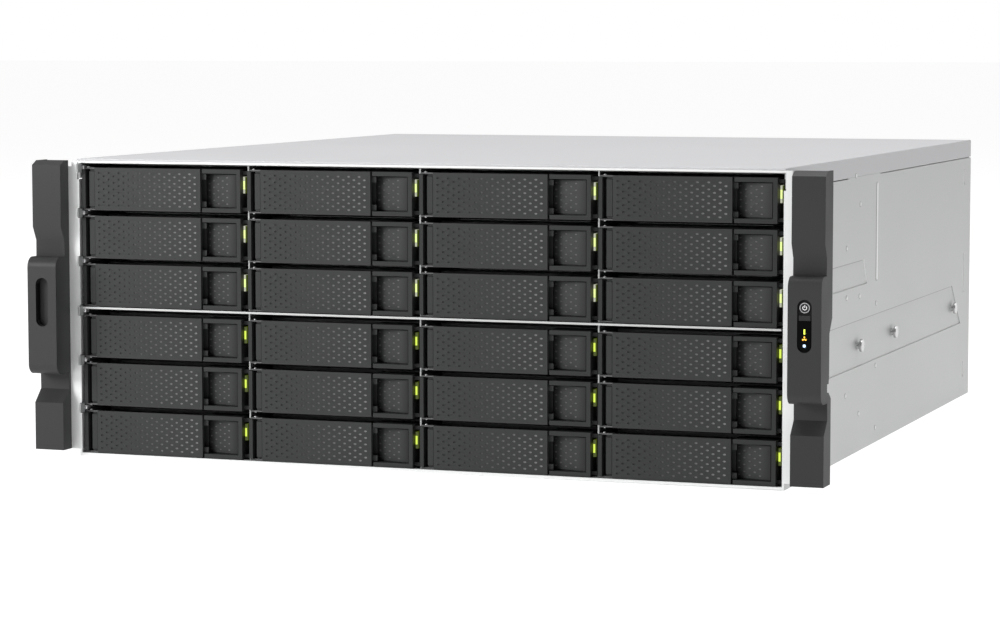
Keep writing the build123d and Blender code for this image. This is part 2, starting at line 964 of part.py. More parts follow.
def make_power_board():
    """Upright board that the power supplies plug into."""
    near = rear - supply_length - power_board_gap
    plug_y = (near + pcb, rear - supply_length - fit_gap)
    with BuildPart() as board:
        across = (lip_thickness - wall_in, supply_right_side())
        slab(across, (near, near + pcb), (sheet, sheet + supply_height))
        for number in range(supply_count):
            middle = supply_left(number) + supply_width / 2
            span = (middle - connector_width / 2, middle + connector_width / 2)
            plug_z = (sheet + power_plug_rise, sheet + power_plug_rise + power_plug_height)
            slab(span, plug_y, plug_z)
    return board.part


# Power supplies


def make_supply(number):
    """Hot-swap power supply with its inlet, fan grille and loop handle."""
    left = supply_left(number)
    right = left + supply_width
    low = sheet + supply_lift
    high = low + supply_height
    back = rear + port_reach
    inlet = (left + port_gap, left + port_gap + inlet_width)
    inlet_z = (low + port_gap, low + port_gap + inlet_height)
    with BuildPart() as supply:
        slab((left, right), (rear - supply_length, back), (low, high))
        slab(inlet, (back - inlet_depth, back), inlet_z, Mode.SUBTRACT)
        for shift in (-1, 0, 1):
            x = sum(inlet) / 2 + shift * inlet_width / 4
            pin_y = (back - inlet_depth, back - inlet_depth / 3)
            pin_z = (sum(inlet_z) / 2 - inlet_pin, sum(inlet_z) / 2 + inlet_pin)
            slab((x - inlet_pin / 2, x + inlet_pin / 2), pin_y, pin_z)
        cut_grille(right - grille_radius - port_gap, (low + high) / 2, back)
        add_handle(left, back, high)
    return supply.part


def cut_grille(x, middle, back):
    """Round opening of the supply's fan, crossed by bars."""
    bars = 2 * grille_radius
    with BuildSketch(facing_front(back - grille_bar)) as opening:
        with Locations((x, middle)):
            Circle(grille_radius)
            with Locations((-grille_radius / 2, 0), (0, 0), (grille_radius / 2, 0)):
                Rectangle(grille_bar, bars, mode=Mode.SUBTRACT)
            Rectangle(bars, grille_bar, mode=Mode.SUBTRACT)
    extrude(opening.sketch, amount=-grille_bar, mode=Mode.SUBTRACT)


def add_handle(left, back, high):
    """Loop handle that stands out behind the supply."""
    reach = rear + handle_reach - back
    centre = left + supply_width / 2
    with BuildSketch(Plane.XY.offset(high - handle_height - fit_gap)) as loop:
        with Locations((centre, back + reach / 2)):
            Rectangle(handle_width, reach)
        fillet(loop.vertices().group_by(Axis.Y)[-1], handle_bend)
        with Locations((centre, back + (reach - handle_bar) / 2)):
            Rectangle(handle_width - 2 * handle_bar, reach - handle_bar, mode=Mode.SUBTRACT)
    extrude(loop.sketch, amount=handle_height)


# Ear covers


def ear_profile():
    """Stepped side profile of an ear cover, as points in Y and Z."""
    end = front - end_block_reach
    return (
        (front, ear_bottom),
        (end, ear_bottom),
        (end, low_block_top),
        (front - low_recess_reach, low_recess_start),
        (front - low_recess_reach, centre_bottom),
        (front - ear_reach, centre_bottom),
        (front - ear_reach, centre_top),
        (front - high_recess_reach, centre_top),
        (front - high_recess_reach, high_recess_end),
        (end, high_block_start),
        (end, ear_top - ear_top_chamfer),
        (end + 2 * ear_top_chamfer, ear_top),
        (front, ear_top),
    )


def ear_hollows():
    """Profiles of the two hollows behind the cover's face: the bottom block's, and all that is above it."""
    end = front - end_block_reach + ear_wall
    middle = front - ear_reach + ear_wall
    recess = front - high_recess_reach + ear_wall
    low = (
        (front, ear_bottom + ear_wall),
        (end, ear_bottom + ear_wall),
        (end, low_block_top - ear_wall / 2),
        (front, low_recess_start - 2 * ear_wall),
    )
    high = (
        (front, centre_bottom + ear_wall),
        (middle, centre_bottom + ear_wall),
        (middle, centre_top - ear_wall),
        (recess, centre_top - ear_wall),
        (recess, high_recess_end + ear_wall / 2),
        (end, high_block_start + ear_wall / 2),
        (end, ear_top - ear_top_chamfer - ear_wall / 2),
        (end + 2 * ear_top_chamfer, ear_top - ear_wall),
        (front, ear_top - ear_wall),
    )
    return (low, high)


def make_ear_cover(side):
    """Moulded cover over a rack flange: stepped front, hollow inside, with a skirt down its outer side."""
    near, far = outward(side, ear_in, ear_out)
    hollow = outward(side, ear_in + ear_wall, ear_out - ear_wall)
    with BuildPart() as ear:
        with BuildSketch(Plane.YZ.offset(near)) as outline:
            with BuildLine():
                Polyline(*ear_profile(), close=True)
            make_face()
            fillet(outline.vertices().sort_by(Axis.X)[:2], centre_round)
        extrude(outline.sketch, amount=far - near)
        for points in ear_hollows():
            prism(Plane.YZ.offset(hollow[0]), points, hollow[1] - hollow[0], Mode.SUBTRACT)
        add_skirt(side)
        if side > 0:
            cut_controls()
        else:
            cut_pill(-ear_middle)
    return ear.part


def add_skirt(side):
    """Outer wall of the cover that reaches back past the flange, with its clip notch."""
    skirt_x = outward(side, ear_out - skirt, ear_out)
    step = front + skirt_back_low
    low = (
        (front, ear_bottom),
        (front + skirt_back_base, ear_bottom),
        (front + skirt_back_base, notch_low - notch_slant),
        (front, notch_low),
    )
    high = (
        (front, notch_high),
        (step, notch_high + notch_slant),
        (step, skirt_step_low),
        (front + skirt_back_high, skirt_step_high),
        (front + skirt_back_high, ear_top),
        (front, ear_top),
    )
    for points in (low, high):
        prism(Plane.YZ.offset(skirt_x[0]), points, skirt)
    wall = outward(side, ear_out - ear_wall, ear_out)
    slab(wall, (front - notch_reach, front), (notch_low, notch_high), Mode.SUBTRACT)


def cut_pill(x):
    """Shallow pill-shaped recess in the centre block's face."""
    with BuildSketch(facing_front(front - ear_reach)) as pill:
        with Locations((x, (pill_low + pill_high) / 2)):
            SlotOverall(pill_high - pill_low, pill_width, rotation=90)
    extrude(pill.sketch, amount=-pill_depth, mode=Mode.SUBTRACT)


def cut_controls():
    """Recess of the controls and the hole that the power button moves in."""
    cut_pill(ear_middle)
    face = facing_front(front - ear_reach)
    rod(face, [(ear_middle, button_height)], button_radius + button_play, -2 * ear_wall, Mode.SUBTRACT)


def make_button_board():
    """Board on the flange side of the right cover's hollow, with the switch that the button presses."""
    back = front - switch_gap
    with BuildPart() as board:
        span = (ear_middle - button_flange, ear_middle + button_flange)
        slab(span, (back - switch_board, back), (window_low, button_height + 2 * button_flange))
        body = (ear_middle - button_stem, ear_middle + button_stem)
        switch_z = (button_height - button_stem, button_height + button_stem)
        slab(body, (switch_front(), back - switch_board), switch_z)
        post_z = (window_low, window_low + button_flange)
        slab(body, (back, front), post_z)
    return board.part


def switch_front():
    """Depth of the switch's face, which the button's stem meets at the end of its travel."""
    return front - switch_gap - switch_board - switch_height


def make_power_button():
    """Round button cap with the square flange that keeps it in and the stem that reaches the switch."""
    face = front - ear_reach + pill_depth - button_proud
    flange_y = front - ear_reach + ear_wall + fit_gap
    stem_end = switch_front() - button_travel - fit_gap
    with BuildPart() as button:
        rod(facing_front(face), [(ear_middle, button_height)], button_radius, face - flange_y)
        for half, end in ((button_flange, flange_y + button_rim), (button_stem, stem_end)):
            across = (ear_middle - half, ear_middle + half)
            slab(across, (flange_y, end), (button_height - half, button_height + half))
    return button.part


# Write every node


def write_trays():
    """Write a tray and a lever for every bay, named by row from the top and column from the left."""
    tray = [make_carrier(), make_drive(), make_release_latch()]
    lever = [make_lever()]
    for row in range(1, rows + 1):
        for column in range(1, columns + 1):
            place = (column_centre(column), front, row_bottom(row))
            write(placed(tray, place), f"tray_r{row}c{column}")
            write(placed(lever, place), f"lever_r{row}c{column}")


def write_light_pipes():
    """Write the light pipes of all bays and the status window as one node."""
    pipe = [make_light_pipe()]
    pieces = [make_status_window()]
    for row in range(1, rows + 1):
        for column in range(1, columns + 1):
            pieces += placed(pipe, (column_centre(column), front, row_bottom(row)))
    write(pieces, "light_pipes")


def write_fan_wall():
    """Write the bulkhead with its fans as one node."""
    pieces = [make_bulkhead()]
    for number in range(fan_count):
        pieces += [make_fan_housing(number), make_rotor(number)]
    write(pieces, "fan_wall")


write(make_tub() + [make_slot_blanks()], "chassis_tub")
write([make_top_cover()], "top_cover")
write(make_drive_cage(), "drive_cage")
write_trays()
write_light_pipes()
write([make_backplane()], "backplane")
write_fan_wall()
write(make_mainboard() + [make_power_board()], "mainboard")
for supply_number in range(supply_count):
    write([make_supply(supply_number)], f"power_supply_{supply_number + 1}")
write([make_ear_cover(-1)], "left_ear_cover")
write([make_ear_cover(1), make_button_board()], "right_ear_cover")
write([make_power_button()], "power_button")
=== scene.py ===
"""Dress a rack storage server: its finishes, small pieces, studio light and the photograph's camera."""

import logging
import math
from dataclasses import dataclass
from enum import Enum
from typing import Callable, Iterable, Optional, Sequence, Union

import bmesh
import bpy
from mathutils import Matrix, Vector


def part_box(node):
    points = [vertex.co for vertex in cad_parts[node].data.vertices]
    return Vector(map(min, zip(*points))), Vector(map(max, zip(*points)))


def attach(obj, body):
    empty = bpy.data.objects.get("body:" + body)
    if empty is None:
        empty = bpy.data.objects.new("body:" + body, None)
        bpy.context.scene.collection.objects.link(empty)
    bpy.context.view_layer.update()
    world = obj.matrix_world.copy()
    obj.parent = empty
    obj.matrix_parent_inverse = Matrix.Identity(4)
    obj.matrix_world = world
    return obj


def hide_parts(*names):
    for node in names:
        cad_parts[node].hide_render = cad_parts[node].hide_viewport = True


LOG = logging.getLogger("server")
MM = 0.001

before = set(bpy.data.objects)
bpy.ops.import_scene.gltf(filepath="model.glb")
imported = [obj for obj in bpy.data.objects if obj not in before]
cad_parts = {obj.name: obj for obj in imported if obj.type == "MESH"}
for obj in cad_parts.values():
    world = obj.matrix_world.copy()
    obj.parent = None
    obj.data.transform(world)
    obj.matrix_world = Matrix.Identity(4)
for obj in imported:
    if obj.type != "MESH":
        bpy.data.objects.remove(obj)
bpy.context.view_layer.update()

Number = Union[int, float]
Span = tuple[float, float]
Colour = tuple[float, float, float]
Point = tuple[float, float]
Place = tuple[float, float, float]
Value = Union["Wire", Number, Sequence[float]]


class Axis(Enum):
    """Directions that a shape is extruded or turned along."""

    X = "x"
    Y = "y"
    Z = "z"

    def place(self, across: float, up: float, along: float) -> Vector:
        """Turn a drawn point and its distance along the axis into X, Y and Z.

        Args:
            across: First drawn coordinate.
            up: Second drawn coordinate.
            along: Distance along the axis.

        Returns:
            The point.
        """
        if self is Axis.X:
            return Vector((along, across, up))
        if self is Axis.Y:
            return Vector((across, along, up))
        return Vector((across, up, along))


def size_of(node: str) -> tuple[Vector, Vector]:
    """Lowest and highest corner of a CAD node in millimetres.

    Args:
        node: Name of the node.

    Returns:
        The two corners.
    """
    low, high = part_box(node)
    return Vector(low) / MM, Vector(high) / MM


class Grid:
    """Places of the bays and of the main planes, worked out from the frame."""

    rows = 6
    columns = 4
    face_depth = 0.8

    def __init__(self) -> None:
        """Read the places from the boxes of the levers, trays and top cover."""
        low, high = size_of("top_cover")
        self.front = size_of("lever_r1c1")[0].y - self.face_depth
        self.rear, self.wall, self.top = high.y, high.x, high.z
        left = size_of("tray_r1c1")[0].x
        self.pitch = size_of("tray_r1c2")[0].x - left

    def centre(self, column: int) -> float:
        """Middle of a column of bays."""
        return (column - (self.columns + 1) / 2) * self.pitch

    def bottom(self, row: int) -> float:
        """Height of the lever's lower edge in a row."""
        return size_of(f"lever_r{row}c1")[0].z

    def origin(self, row: int, column: int) -> Vector:
        """Reference point of a bay: its middle, at the front plane and the lever's lower edge."""
        return Vector((self.centre(column), self.front, self.bottom(row)))

    def bays(self) -> Iterable[tuple[int, int]]:
        """Every bay as its row and column."""
        return ((row, column) for row in range(1, self.rows + 1) for column in range(1, self.columns + 1))


GRID = Grid()


class Wire:
    """A shader socket that takes part in arithmetic, adding Math nodes as it goes."""

    def __init__(self, tree: "Tree", socket: bpy.types.NodeSocket) -> None:
        """Wrap one output socket of a material's tree."""
        self.tree = tree
        self.socket = socket

    def _math(self, operation: str, *values: Union["Wire", Number]) -> "Wire":
        """Join values by one Math node."""
        return self.tree.add("ShaderNodeMath", {"operation": operation}, *values)

    def __add__(self, other: Union["Wire", Number]) -> "Wire":
        """Sum."""
        return self._math("ADD", self, other)

    __radd__ = __add__

    def __sub__(self, other: Union["Wire", Number]) -> "Wire":
        """Difference."""
        return self._math("SUBTRACT", self, other)

    def __rsub__(self, other: Union["Wire", Number]) -> "Wire":
        """Difference from a number."""
        return self._math("SUBTRACT", other, self)

    def __mul__(self, other: Union["Wire", Number]) -> "Wire":
        """Product."""
        return self._math("MULTIPLY", self, other)

    __rmul__ = __mul__

    def between(self, low: float, high: float) -> "Wire":
        """Share of the way from low to high, kept from zero to one."""
        return self.tree.add("ShaderNodeMapRange", {"clamp": True}, self, low, high, 0.0, 1.0)


class Tree:
    """The node tree of one material."""

    def __init__(self, name: str) -> None:
        """Make a material with its principled shader.

        Args:
            name: Name of the material.
        """
        self.material = bpy.data.materials.new(name)
        self.material.use_nodes = True
        self.nodes = self.material.node_tree.nodes
        self.links = self.material.node_tree.links
        self.shader = self.nodes["Principled BSDF"]

    def node(self, kind: str, settings: dict, *values: Value, **named: Value) -> bpy.types.Node:
        """Add any node.

        Args:
            kind: Blender's type of the node.
            settings: Its properties, set first, with a ramp's stops under that name.
            values: Values or wires of its sockets in order.
            named: Values or wires of its sockets by name.

        Returns:
            The new node.
        """
        made = self.nodes.new(kind)
        for key, value in settings.items():
            if key == "stops":
                self._set_stops(made.color_ramp, value)
            else:
                setattr(made, key, value)
        sockets = [(made.inputs[index], value) for index, value in enumerate(values)]
        sockets += [(made.inputs[key], value) for key, value in named.items()]
        for socket, value in sockets:
            self.feed(socket, value)
        return made

    def add(self, kind: str, settings: dict, *values: Value, **named: Value) -> Wire:
        """Add a node and return its first output."""
        return Wire(self, self.node(kind, settings, *values, **named).outputs[0])

    def feed(self, socket: bpy.types.NodeSocket, value: Value) -> None:
        """Link a wire to a socket, or set a constant on it.

        Args:
            socket: Input that takes it.
            value: Wire or constant.
        """
        if isinstance(value, Wire):
            self.links.new(value.socket, socket)
        else:
            socket.default_value = value

    def set(self, **values: Value) -> "Tree":
        """Set or link sockets of the principled shader, named with underscores for spaces.

        Args:
            values: Wires or constants by the sockets' names.

        Returns:
            This tree.
        """
        for key, value in values.items():
            self.feed(self.shader.inputs[key.replace("_", " ")], value)
        return self

    def place(self, scale: Union[float, Sequence[float]] = 1.0) -> Wire:
        """Object coordinates in millimetres, stretched by a scale along each axis.

        Args:
            scale: Factor for all axes, or one for each.

        Returns:
            The place as a wire.
        """
        source = self.node("ShaderNodeTexCoord", {})
        factors = (scale,) * 3 if isinstance(scale, (int, float)) else tuple(scale)
        stretch = tuple(factor / MM for factor in factors)
        place = Wire(self, source.outputs["Object"])
        return self.add("ShaderNodeVectorMath", {"operation": "MULTIPLY"}, place, stretch)

    def axis(self, axis: Axis) -> Wire:
        """One object coordinate in millimetres."""
        parts = self.node("ShaderNodeSeparateXYZ", {}, self.place())
        return Wire(self, parts.outputs["xyz".index(axis.value)])

    def noise(self, scale: Union[float, Sequence[float]], detail: float = 2.0) -> Wire:
        """Noise between zero and one, with features per millimetre along each axis."""
        return self.add("ShaderNodeTexNoise", {}, self.place(scale), Scale=1.0, Detail=detail)

    def mix(self, factor: Union[Wire, float], first: Value, second: Value) -> Wire:
        """Blend two colours.

        Args:
            factor: Share of the second colour.
            first: First colour.
            second: Second colour.

        Returns:
            The blend as a wire.
        """
        made = self.node("ShaderNodeMix", {"data_type": "RGBA"})
        factor_input, first_input, second_input, colour_output = 0, 6, 7, 2
        self.feed(made.inputs[factor_input], factor)
        self.feed(made.inputs[first_input], rgba(first))
        self.feed(made.inputs[second_input], rgba(second))
        return Wire(self, made.outputs[colour_output])

    def ramp(self, factor: Wire, stops: Sequence[tuple[float, Colour]]) -> Wire:
        """Colour along a ramp."""
        return self.add("ShaderNodeValToRGB", {"stops": stops}, factor)

    def bump(self, height: Wire, strength: float, distance: float) -> Wire:
        """Surface normal from a height, with the distance in millimetres."""
        return self.add("ShaderNodeBump", {}, Strength=strength, Distance=distance * MM, Height=height)

    @staticmethod
    def _set_stops(ramp: bpy.types.ColorRamp, stops: Sequence[tuple[float, Colour]]) -> None:
        """Fill a ramp with its stops.

        Args:
            ramp: Ramp to fill.
            stops: Place and colour of each stop.
        """
        while len(ramp.elements) < len(stops):
            ramp.elements.new(0.5)
        for element, (place, colour) in zip(ramp.elements, stops):
            element.position = place
            element.color = rgba(colour)


def rgba(colour: Union[Wire, Number, Colour]) -> Union[Wire, tuple]:
    """A colour with its alpha, or the wire as it is.

    Args:
        colour: Grey value, colour or wire.

    Returns:
        Four parts, or the wire.
    """
    if isinstance(colour, Wire):
        return colour
    if isinstance(colour, (int, float)):
        return (colour, colour, colour, 1.0)
    return (*colour[:3], 1.0)


def shade(colour: Colour, factor: float) -> Colour:
    """A colour made darker or lighter."""
    return tuple(min(part * factor, 1.0) for part in colour)


@dataclass(frozen=True)
class MouldedPlastic:
    """Moulded plastic with a fine spark-eroded texture and a little handling sheen."""

    name: str
    colour: Colour
    roughness: float = 0.5
    grain: float = 2.6
    grain_depth: float = 0.03
    mottle: float = 0.1
    gloss: float = 0.45
    shaded: Optional[Span] = None

    def material(self) -> bpy.types.Material:
        """Build the finish's material, with painted shade on the sides of a sunken plate.

        Returns:
            The material.
        """
        tree = Tree(self.name)
        cloud = tree.noise(0.03, 3.0)
        fine = tree.noise(self.grain, 4.0)
        speck = tree.mix(fine, shade(self.colour, 1 - self.mottle), shade(self.colour, 1 + self.mottle))
        skin = tree.mix(cloud * 0.35, speck, shade(self.colour, 1.3))
        # Painted shade: the plate's colour darkens towards both sides, where the recess shades it.
        if self.shaded:
            along = tree.axis(Axis.X).between(*self.shaded)
            shadow = along.between(0.3, 0.0) * 0.6 + along.between(0.75, 0.97) * 0.8
            skin = tree.mix(shadow, skin, shade(self.colour, 0.1))
        tree.set(
            Base_Color=skin,
            Roughness=self.roughness + (fine - 0.5) * 0.16 + (cloud - 0.5) * 0.12,
            Normal=tree.bump(fine, 0.5, self.grain_depth),
            Specular_IOR_Level=self.gloss,
        )
        return tree.material


@dataclass(frozen=True)
class SheetSteel:
    """Plated sheet steel with the fine rolling grain along one axis."""

    name: str
    colour: Colour
    metallic: float = 0.35
    roughness: float = 0.45
    grain: Place = (1.6, 0.03, 1.6)
    grain_depth: float = 0.006

    def material(self) -> bpy.types.Material:
        """Build the finish's material.

        Returns:
            The material.
        """
        tree = Tree(self.name)
        rolling = tree.noise(self.grain, 4.0)
        spangle = tree.noise(0.015, 4.0)
        cloud = spangle * 0.5 + rolling * 0.5
        tree.set(
            Base_Color=tree.mix(cloud, shade(self.colour, 0.97), shade(self.colour, 1.02)),
            Roughness=self.roughness + (rolling - 0.5) * 0.14 + (spangle - 0.5) * 0.12,
            Metallic=self.metallic,
            Normal=tree.bump(rolling, 0.35, self.grain_depth),
        )
        return tree.material


@dataclass(frozen=True)
class CastMetal:
    """Bare cast or machined metal with a pebbled skin."""

    name: str
    colour: Colour
    roughness: float = 0.45
    metallic: float = 0.9
    pebble: float = 1.2
    depth: float = 0.03

    def material(self) -> bpy.types.Material:
        """Build the finish's material.

        Returns:
            The material.
        """
        tree = Tree(self.name)
        skin = tree.noise(self.pebble, 5.0)
        cloud = tree.noise(0.05, 2.0)
        tree.set(
            Base_Color=tree.mix(skin * 0.5 + cloud * 0.5, shade(self.colour, 0.86), shade(self.colour, 1.06)),
            Roughness=self.roughness + (skin - 0.5) * 0.2,
            Metallic=self.metallic,
            Normal=tree.bump(skin, 0.4, self.depth),
        )
        return tree.material


@dataclass(frozen=True)
class SolderMask:
    """Circuit board under green lacquer, with copper tracks that show through it."""

    name: str
    colour: Colour = (0.012, 0.09, 0.035)
    track: Colour = (0.03, 0.17, 0.06)

    def material(self) -> bpy.types.Material:
        """Build the finish's material.

        Returns:
            The material.
        """
        tree = Tree(self.name)
        tracks = tree.noise((0.9, 0.07, 0.3), 1.0).between(0.54, 0.57)
        cross = tree.noise((0.07, 0.9, 0.3), 1.0).between(0.56, 0.59)
        both = tracks * 0.6 + cross * 0.4
        tree.set(
            Base_Color=tree.mix(both, self.colour, self.track),
            Roughness=0.32 + both * 0.1,
            Normal=tree.bump(both, 0.5, 0.03),
            Coat_Weight=0.4,
        )
        return tree.material


@dataclass(frozen=True)
class Perforation:
    """Floor of the lever's dimples, with painted shade at the hinge and a painted highlight at the catch."""

    name: str
    start: float
    end: float
    stops: tuple[tuple[float, Colour], ...]

    def material(self) -> bpy.types.Material:
        """Build the finish's material.

        Returns:
            The material.
        """
        tree = Tree(self.name)
        # Painted light: the floors' colour runs from painted shade to a painted highlight along X.
        along = tree.axis(Axis.X).between(self.start, self.end)
        grain = tree.noise(2.0, 2.0)
        colour = tree.ramp(along, self.stops)
        tree.set(Base_Color=tree.mix(grain * 0.2, colour, (0.05, 0.05, 0.05)), Roughness=0.55)
        return tree.material


@dataclass(frozen=True)
class Glow:
    """A lit lens or indicator that shines a little by itself, or a printed sign given a little painted glow."""

    name: str
    colour: Colour
    strength: float
    body: Colour = (0.6, 0.65, 0.5)

    def material(self) -> bpy.types.Material:
        """Build the finish's material.

        Returns:
            The material.
        """
        tree = Tree(self.name)
        cloud = tree.noise(0.8, 1.0)
        tree.set(
            Base_Color=tree.mix(cloud, self.body, shade(self.body, 0.8)),
            Roughness=0.3 + cloud * 0.1,
            Emission_Color=tree.mix(cloud * 0.3, self.colour, shade(self.colour, 0.9)),
            Emission_Strength=self.strength,
        )
        return tree.material


@dataclass(frozen=True)
class ClearPlastic:
    """Clear moulded plastic of the light pipes and windows."""

    name: str
    colour: Colour
    transmission: float = 0.85
    roughness: float = 0.12

    def material(self) -> bpy.types.Material:
        """Build the finish's material.

        Returns:
            The material.
        """
        tree = Tree(self.name)
        cloud = tree.noise(0.3, 2.0)
        tree.set(
            Base_Color=tree.mix(cloud, self.colour, shade(self.colour, 0.85)),
            Roughness=self.roughness + cloud * 0.08,
            Transmission_Weight=self.transmission,
            IOR=1.49,
        )
        return tree.material


Finish = Union[MouldedPlastic, SheetSteel, CastMetal, SolderMask, Perforation, Glow, ClearPlastic]

STEEL = SheetSteel("plated steel", (0.57, 0.58, 0.575))
# Lighter copy of the plated steel: painted light on front-facing faces and rivet domes.
LIT_STEEL = SheetSteel("lit steel copy", (0.86, 0.87, 0.865))
# Near-white steel for painted highlights and for steps lightened against their shade.
PAINTED_LIGHT_STEEL = SheetSteel("painted light steel", (0.96, 0.96, 0.96), metallic=0.1)
# Dark steel for painted shadow lines, the groove's shaded flank and rings of painted shade round the rivets.
SHADE_STEEL = SheetSteel("shaded steel edge", (0.3, 0.3, 0.3))
COVER_STEEL = SheetSteel("plated steel of the top cover", (0.585, 0.585, 0.597), metallic=0.1, roughness=0.62)
SUPPLY_STEEL = SheetSteel("supply steel", (0.5, 0.5, 0.51), metallic=0.5, roughness=0.42)
SHADED_CAGE_STEEL = SheetSteel("plated steel of the cage in painted shade", (0.2, 0.2, 0.205), grain=(1.6, 1.6, 0.03))
STUD_STEEL = SheetSteel("polished stud", (0.5, 0.5, 0.5), metallic=0.9, roughness=0.2)
BRIGHT_STEEL = SheetSteel("bright steel", (0.85, 0.85, 0.86), metallic=0.6, roughness=0.3)
SCREW_STEEL = CastMetal("screw steel", (0.55, 0.55, 0.56), roughness=0.35, pebble=3.0, depth=0.01)
TAB_STEEL = CastMetal("strike tab steel", (0.42, 0.43, 0.43), roughness=0.5, metallic=0.3)
HOOK_STEEL = CastMetal("hook plate steel", (0.1, 0.1, 0.102), roughness=0.5, metallic=0.3)
TRAY_PLASTIC = MouldedPlastic("tray plastic", (0.022, 0.023, 0.023), gloss=0.3)
# The latch plate carries painted shade on its left and right sides.
LATCH_PLASTIC = MouldedPlastic("latch plastic", (0.026, 0.027, 0.027), gloss=0.3, shaded=(25.8, 46.95))
LEVER_PLASTIC = MouldedPlastic("lever plastic", (0.028, 0.029, 0.029), gloss=0.3)
EAR_PLASTIC = MouldedPlastic("ear cover plastic", (0.032, 0.032, 0.033), grain_depth=0.04, gloss=0.28)
BUTTON_PLASTIC = MouldedPlastic("button plastic", (0.02, 0.02, 0.021), roughness=0.35, grain_depth=0.005, gloss=0.3)
DARK_PLASTIC = MouldedPlastic("dark plastic", (0.008, 0.008, 0.008), gloss=0.2)
FAN_PLASTIC = MouldedPlastic("fan plastic", (0.02, 0.02, 0.021), roughness=0.4)
SOCKET_PLASTIC = MouldedPlastic("socket plastic", (0.05, 0.05, 0.055), roughness=0.4, grain_depth=0.005)
PALE_PLASTIC = MouldedPlastic("pale connector plastic", (0.6, 0.58, 0.52), roughness=0.45, grain_depth=0.005)
CHIP = MouldedPlastic("chip package", (0.015, 0.015, 0.016), roughness=0.55, grain_depth=0.005)
DRIVE_CASTING = CastMetal("drive casting", (0.5, 0.5, 0.51))
DRIVE_LID = SheetSteel("drive lid", (0.6, 0.6, 0.61), metallic=0.8, roughness=0.32)
ALUMINIUM = CastMetal("heatsink aluminium", (0.72, 0.72, 0.73), roughness=0.35, pebble=2.0, depth=0.01)
GOLD = CastMetal("contact gold", (0.85, 0.6, 0.2), roughness=0.3, pebble=2.0, depth=0.005)
BOARD = SolderMask("circuit board")
# Dimple floors of the lever and the latch: painted shade at the left, painted highlight at the right.
LEVER_DOTS = Perforation(
    "lever dots",
    -41.0,
    21.0,
    ((0.0, (0.002,) * 3), (0.2, (0.006,) * 3), (0.32, (0.04,) * 3), (0.45, (0.11,) * 3), (1.0, (0.32,) * 3)),
)
LATCH_DOTS = Perforation("latch dots", 27.0, 45.0, ((0.0, (0.05,) * 3), (0.5, (0.14,) * 3), (1.0, (0.16,) * 3)))
LENS_LIT = Glow("lit lens", (0.85, 1.0, 0.36), 0.92, (0.3, 0.35, 0.12))
LENS_DEEP = Glow("deep lit lens", (0.76, 0.98, 0.1), 0.85, (0.25, 0.3, 0.02))
LENS_END = Glow("lens end", (0.52, 0.54, 0.42), 0.75, (0.2, 0.2, 0.16))
LENS_SHADOW = Glow("lens side", (0.16, 0.22, 0.01), 0.25, (0.03, 0.04, 0.005))
PIPE = ClearPlastic("clear pipe", (0.85, 0.9, 0.8))
WINDOW = MouldedPlastic("smoked window", (0.002, 0.002, 0.002), roughness=0.3, grain_depth=0.002, gloss=0.04)
EAR_SHADE = MouldedPlastic("shaded ear plastic", (0.006, 0.006, 0.006), gloss=0.15)
# The printed power sign glows a little: painted light that brightens the print.
SIGN_WHITE = Glow("white sign", (0.9, 0.9, 0.9), 0.45, (0.8, 0.8, 0.8))
SIGN_LIME = Glow("lime sign", (0.75, 0.9, 0.05), 1.2, (0.5, 0.6, 0.1))
SIGN_AMBER = Glow("amber sign", (1.0, 0.5, 0.04), 1.2, (0.6, 0.35, 0.05))
SIGN_BLUE = Glow("blue sign", (0.55, 0.75, 1.0), 1.3, (0.4, 0.5, 0.7))

_made: dict[str, bpy.types.Material] = {}


def material_of(finish: Finish) -> bpy.types.Material:
    """The material of a finish, made once.

    Args:
        finish: The finish.

    Returns:
        The material.
    """
    if finish.name not in _made:
        _made[finish.name] = finish.material()
    return _made[finish.name]


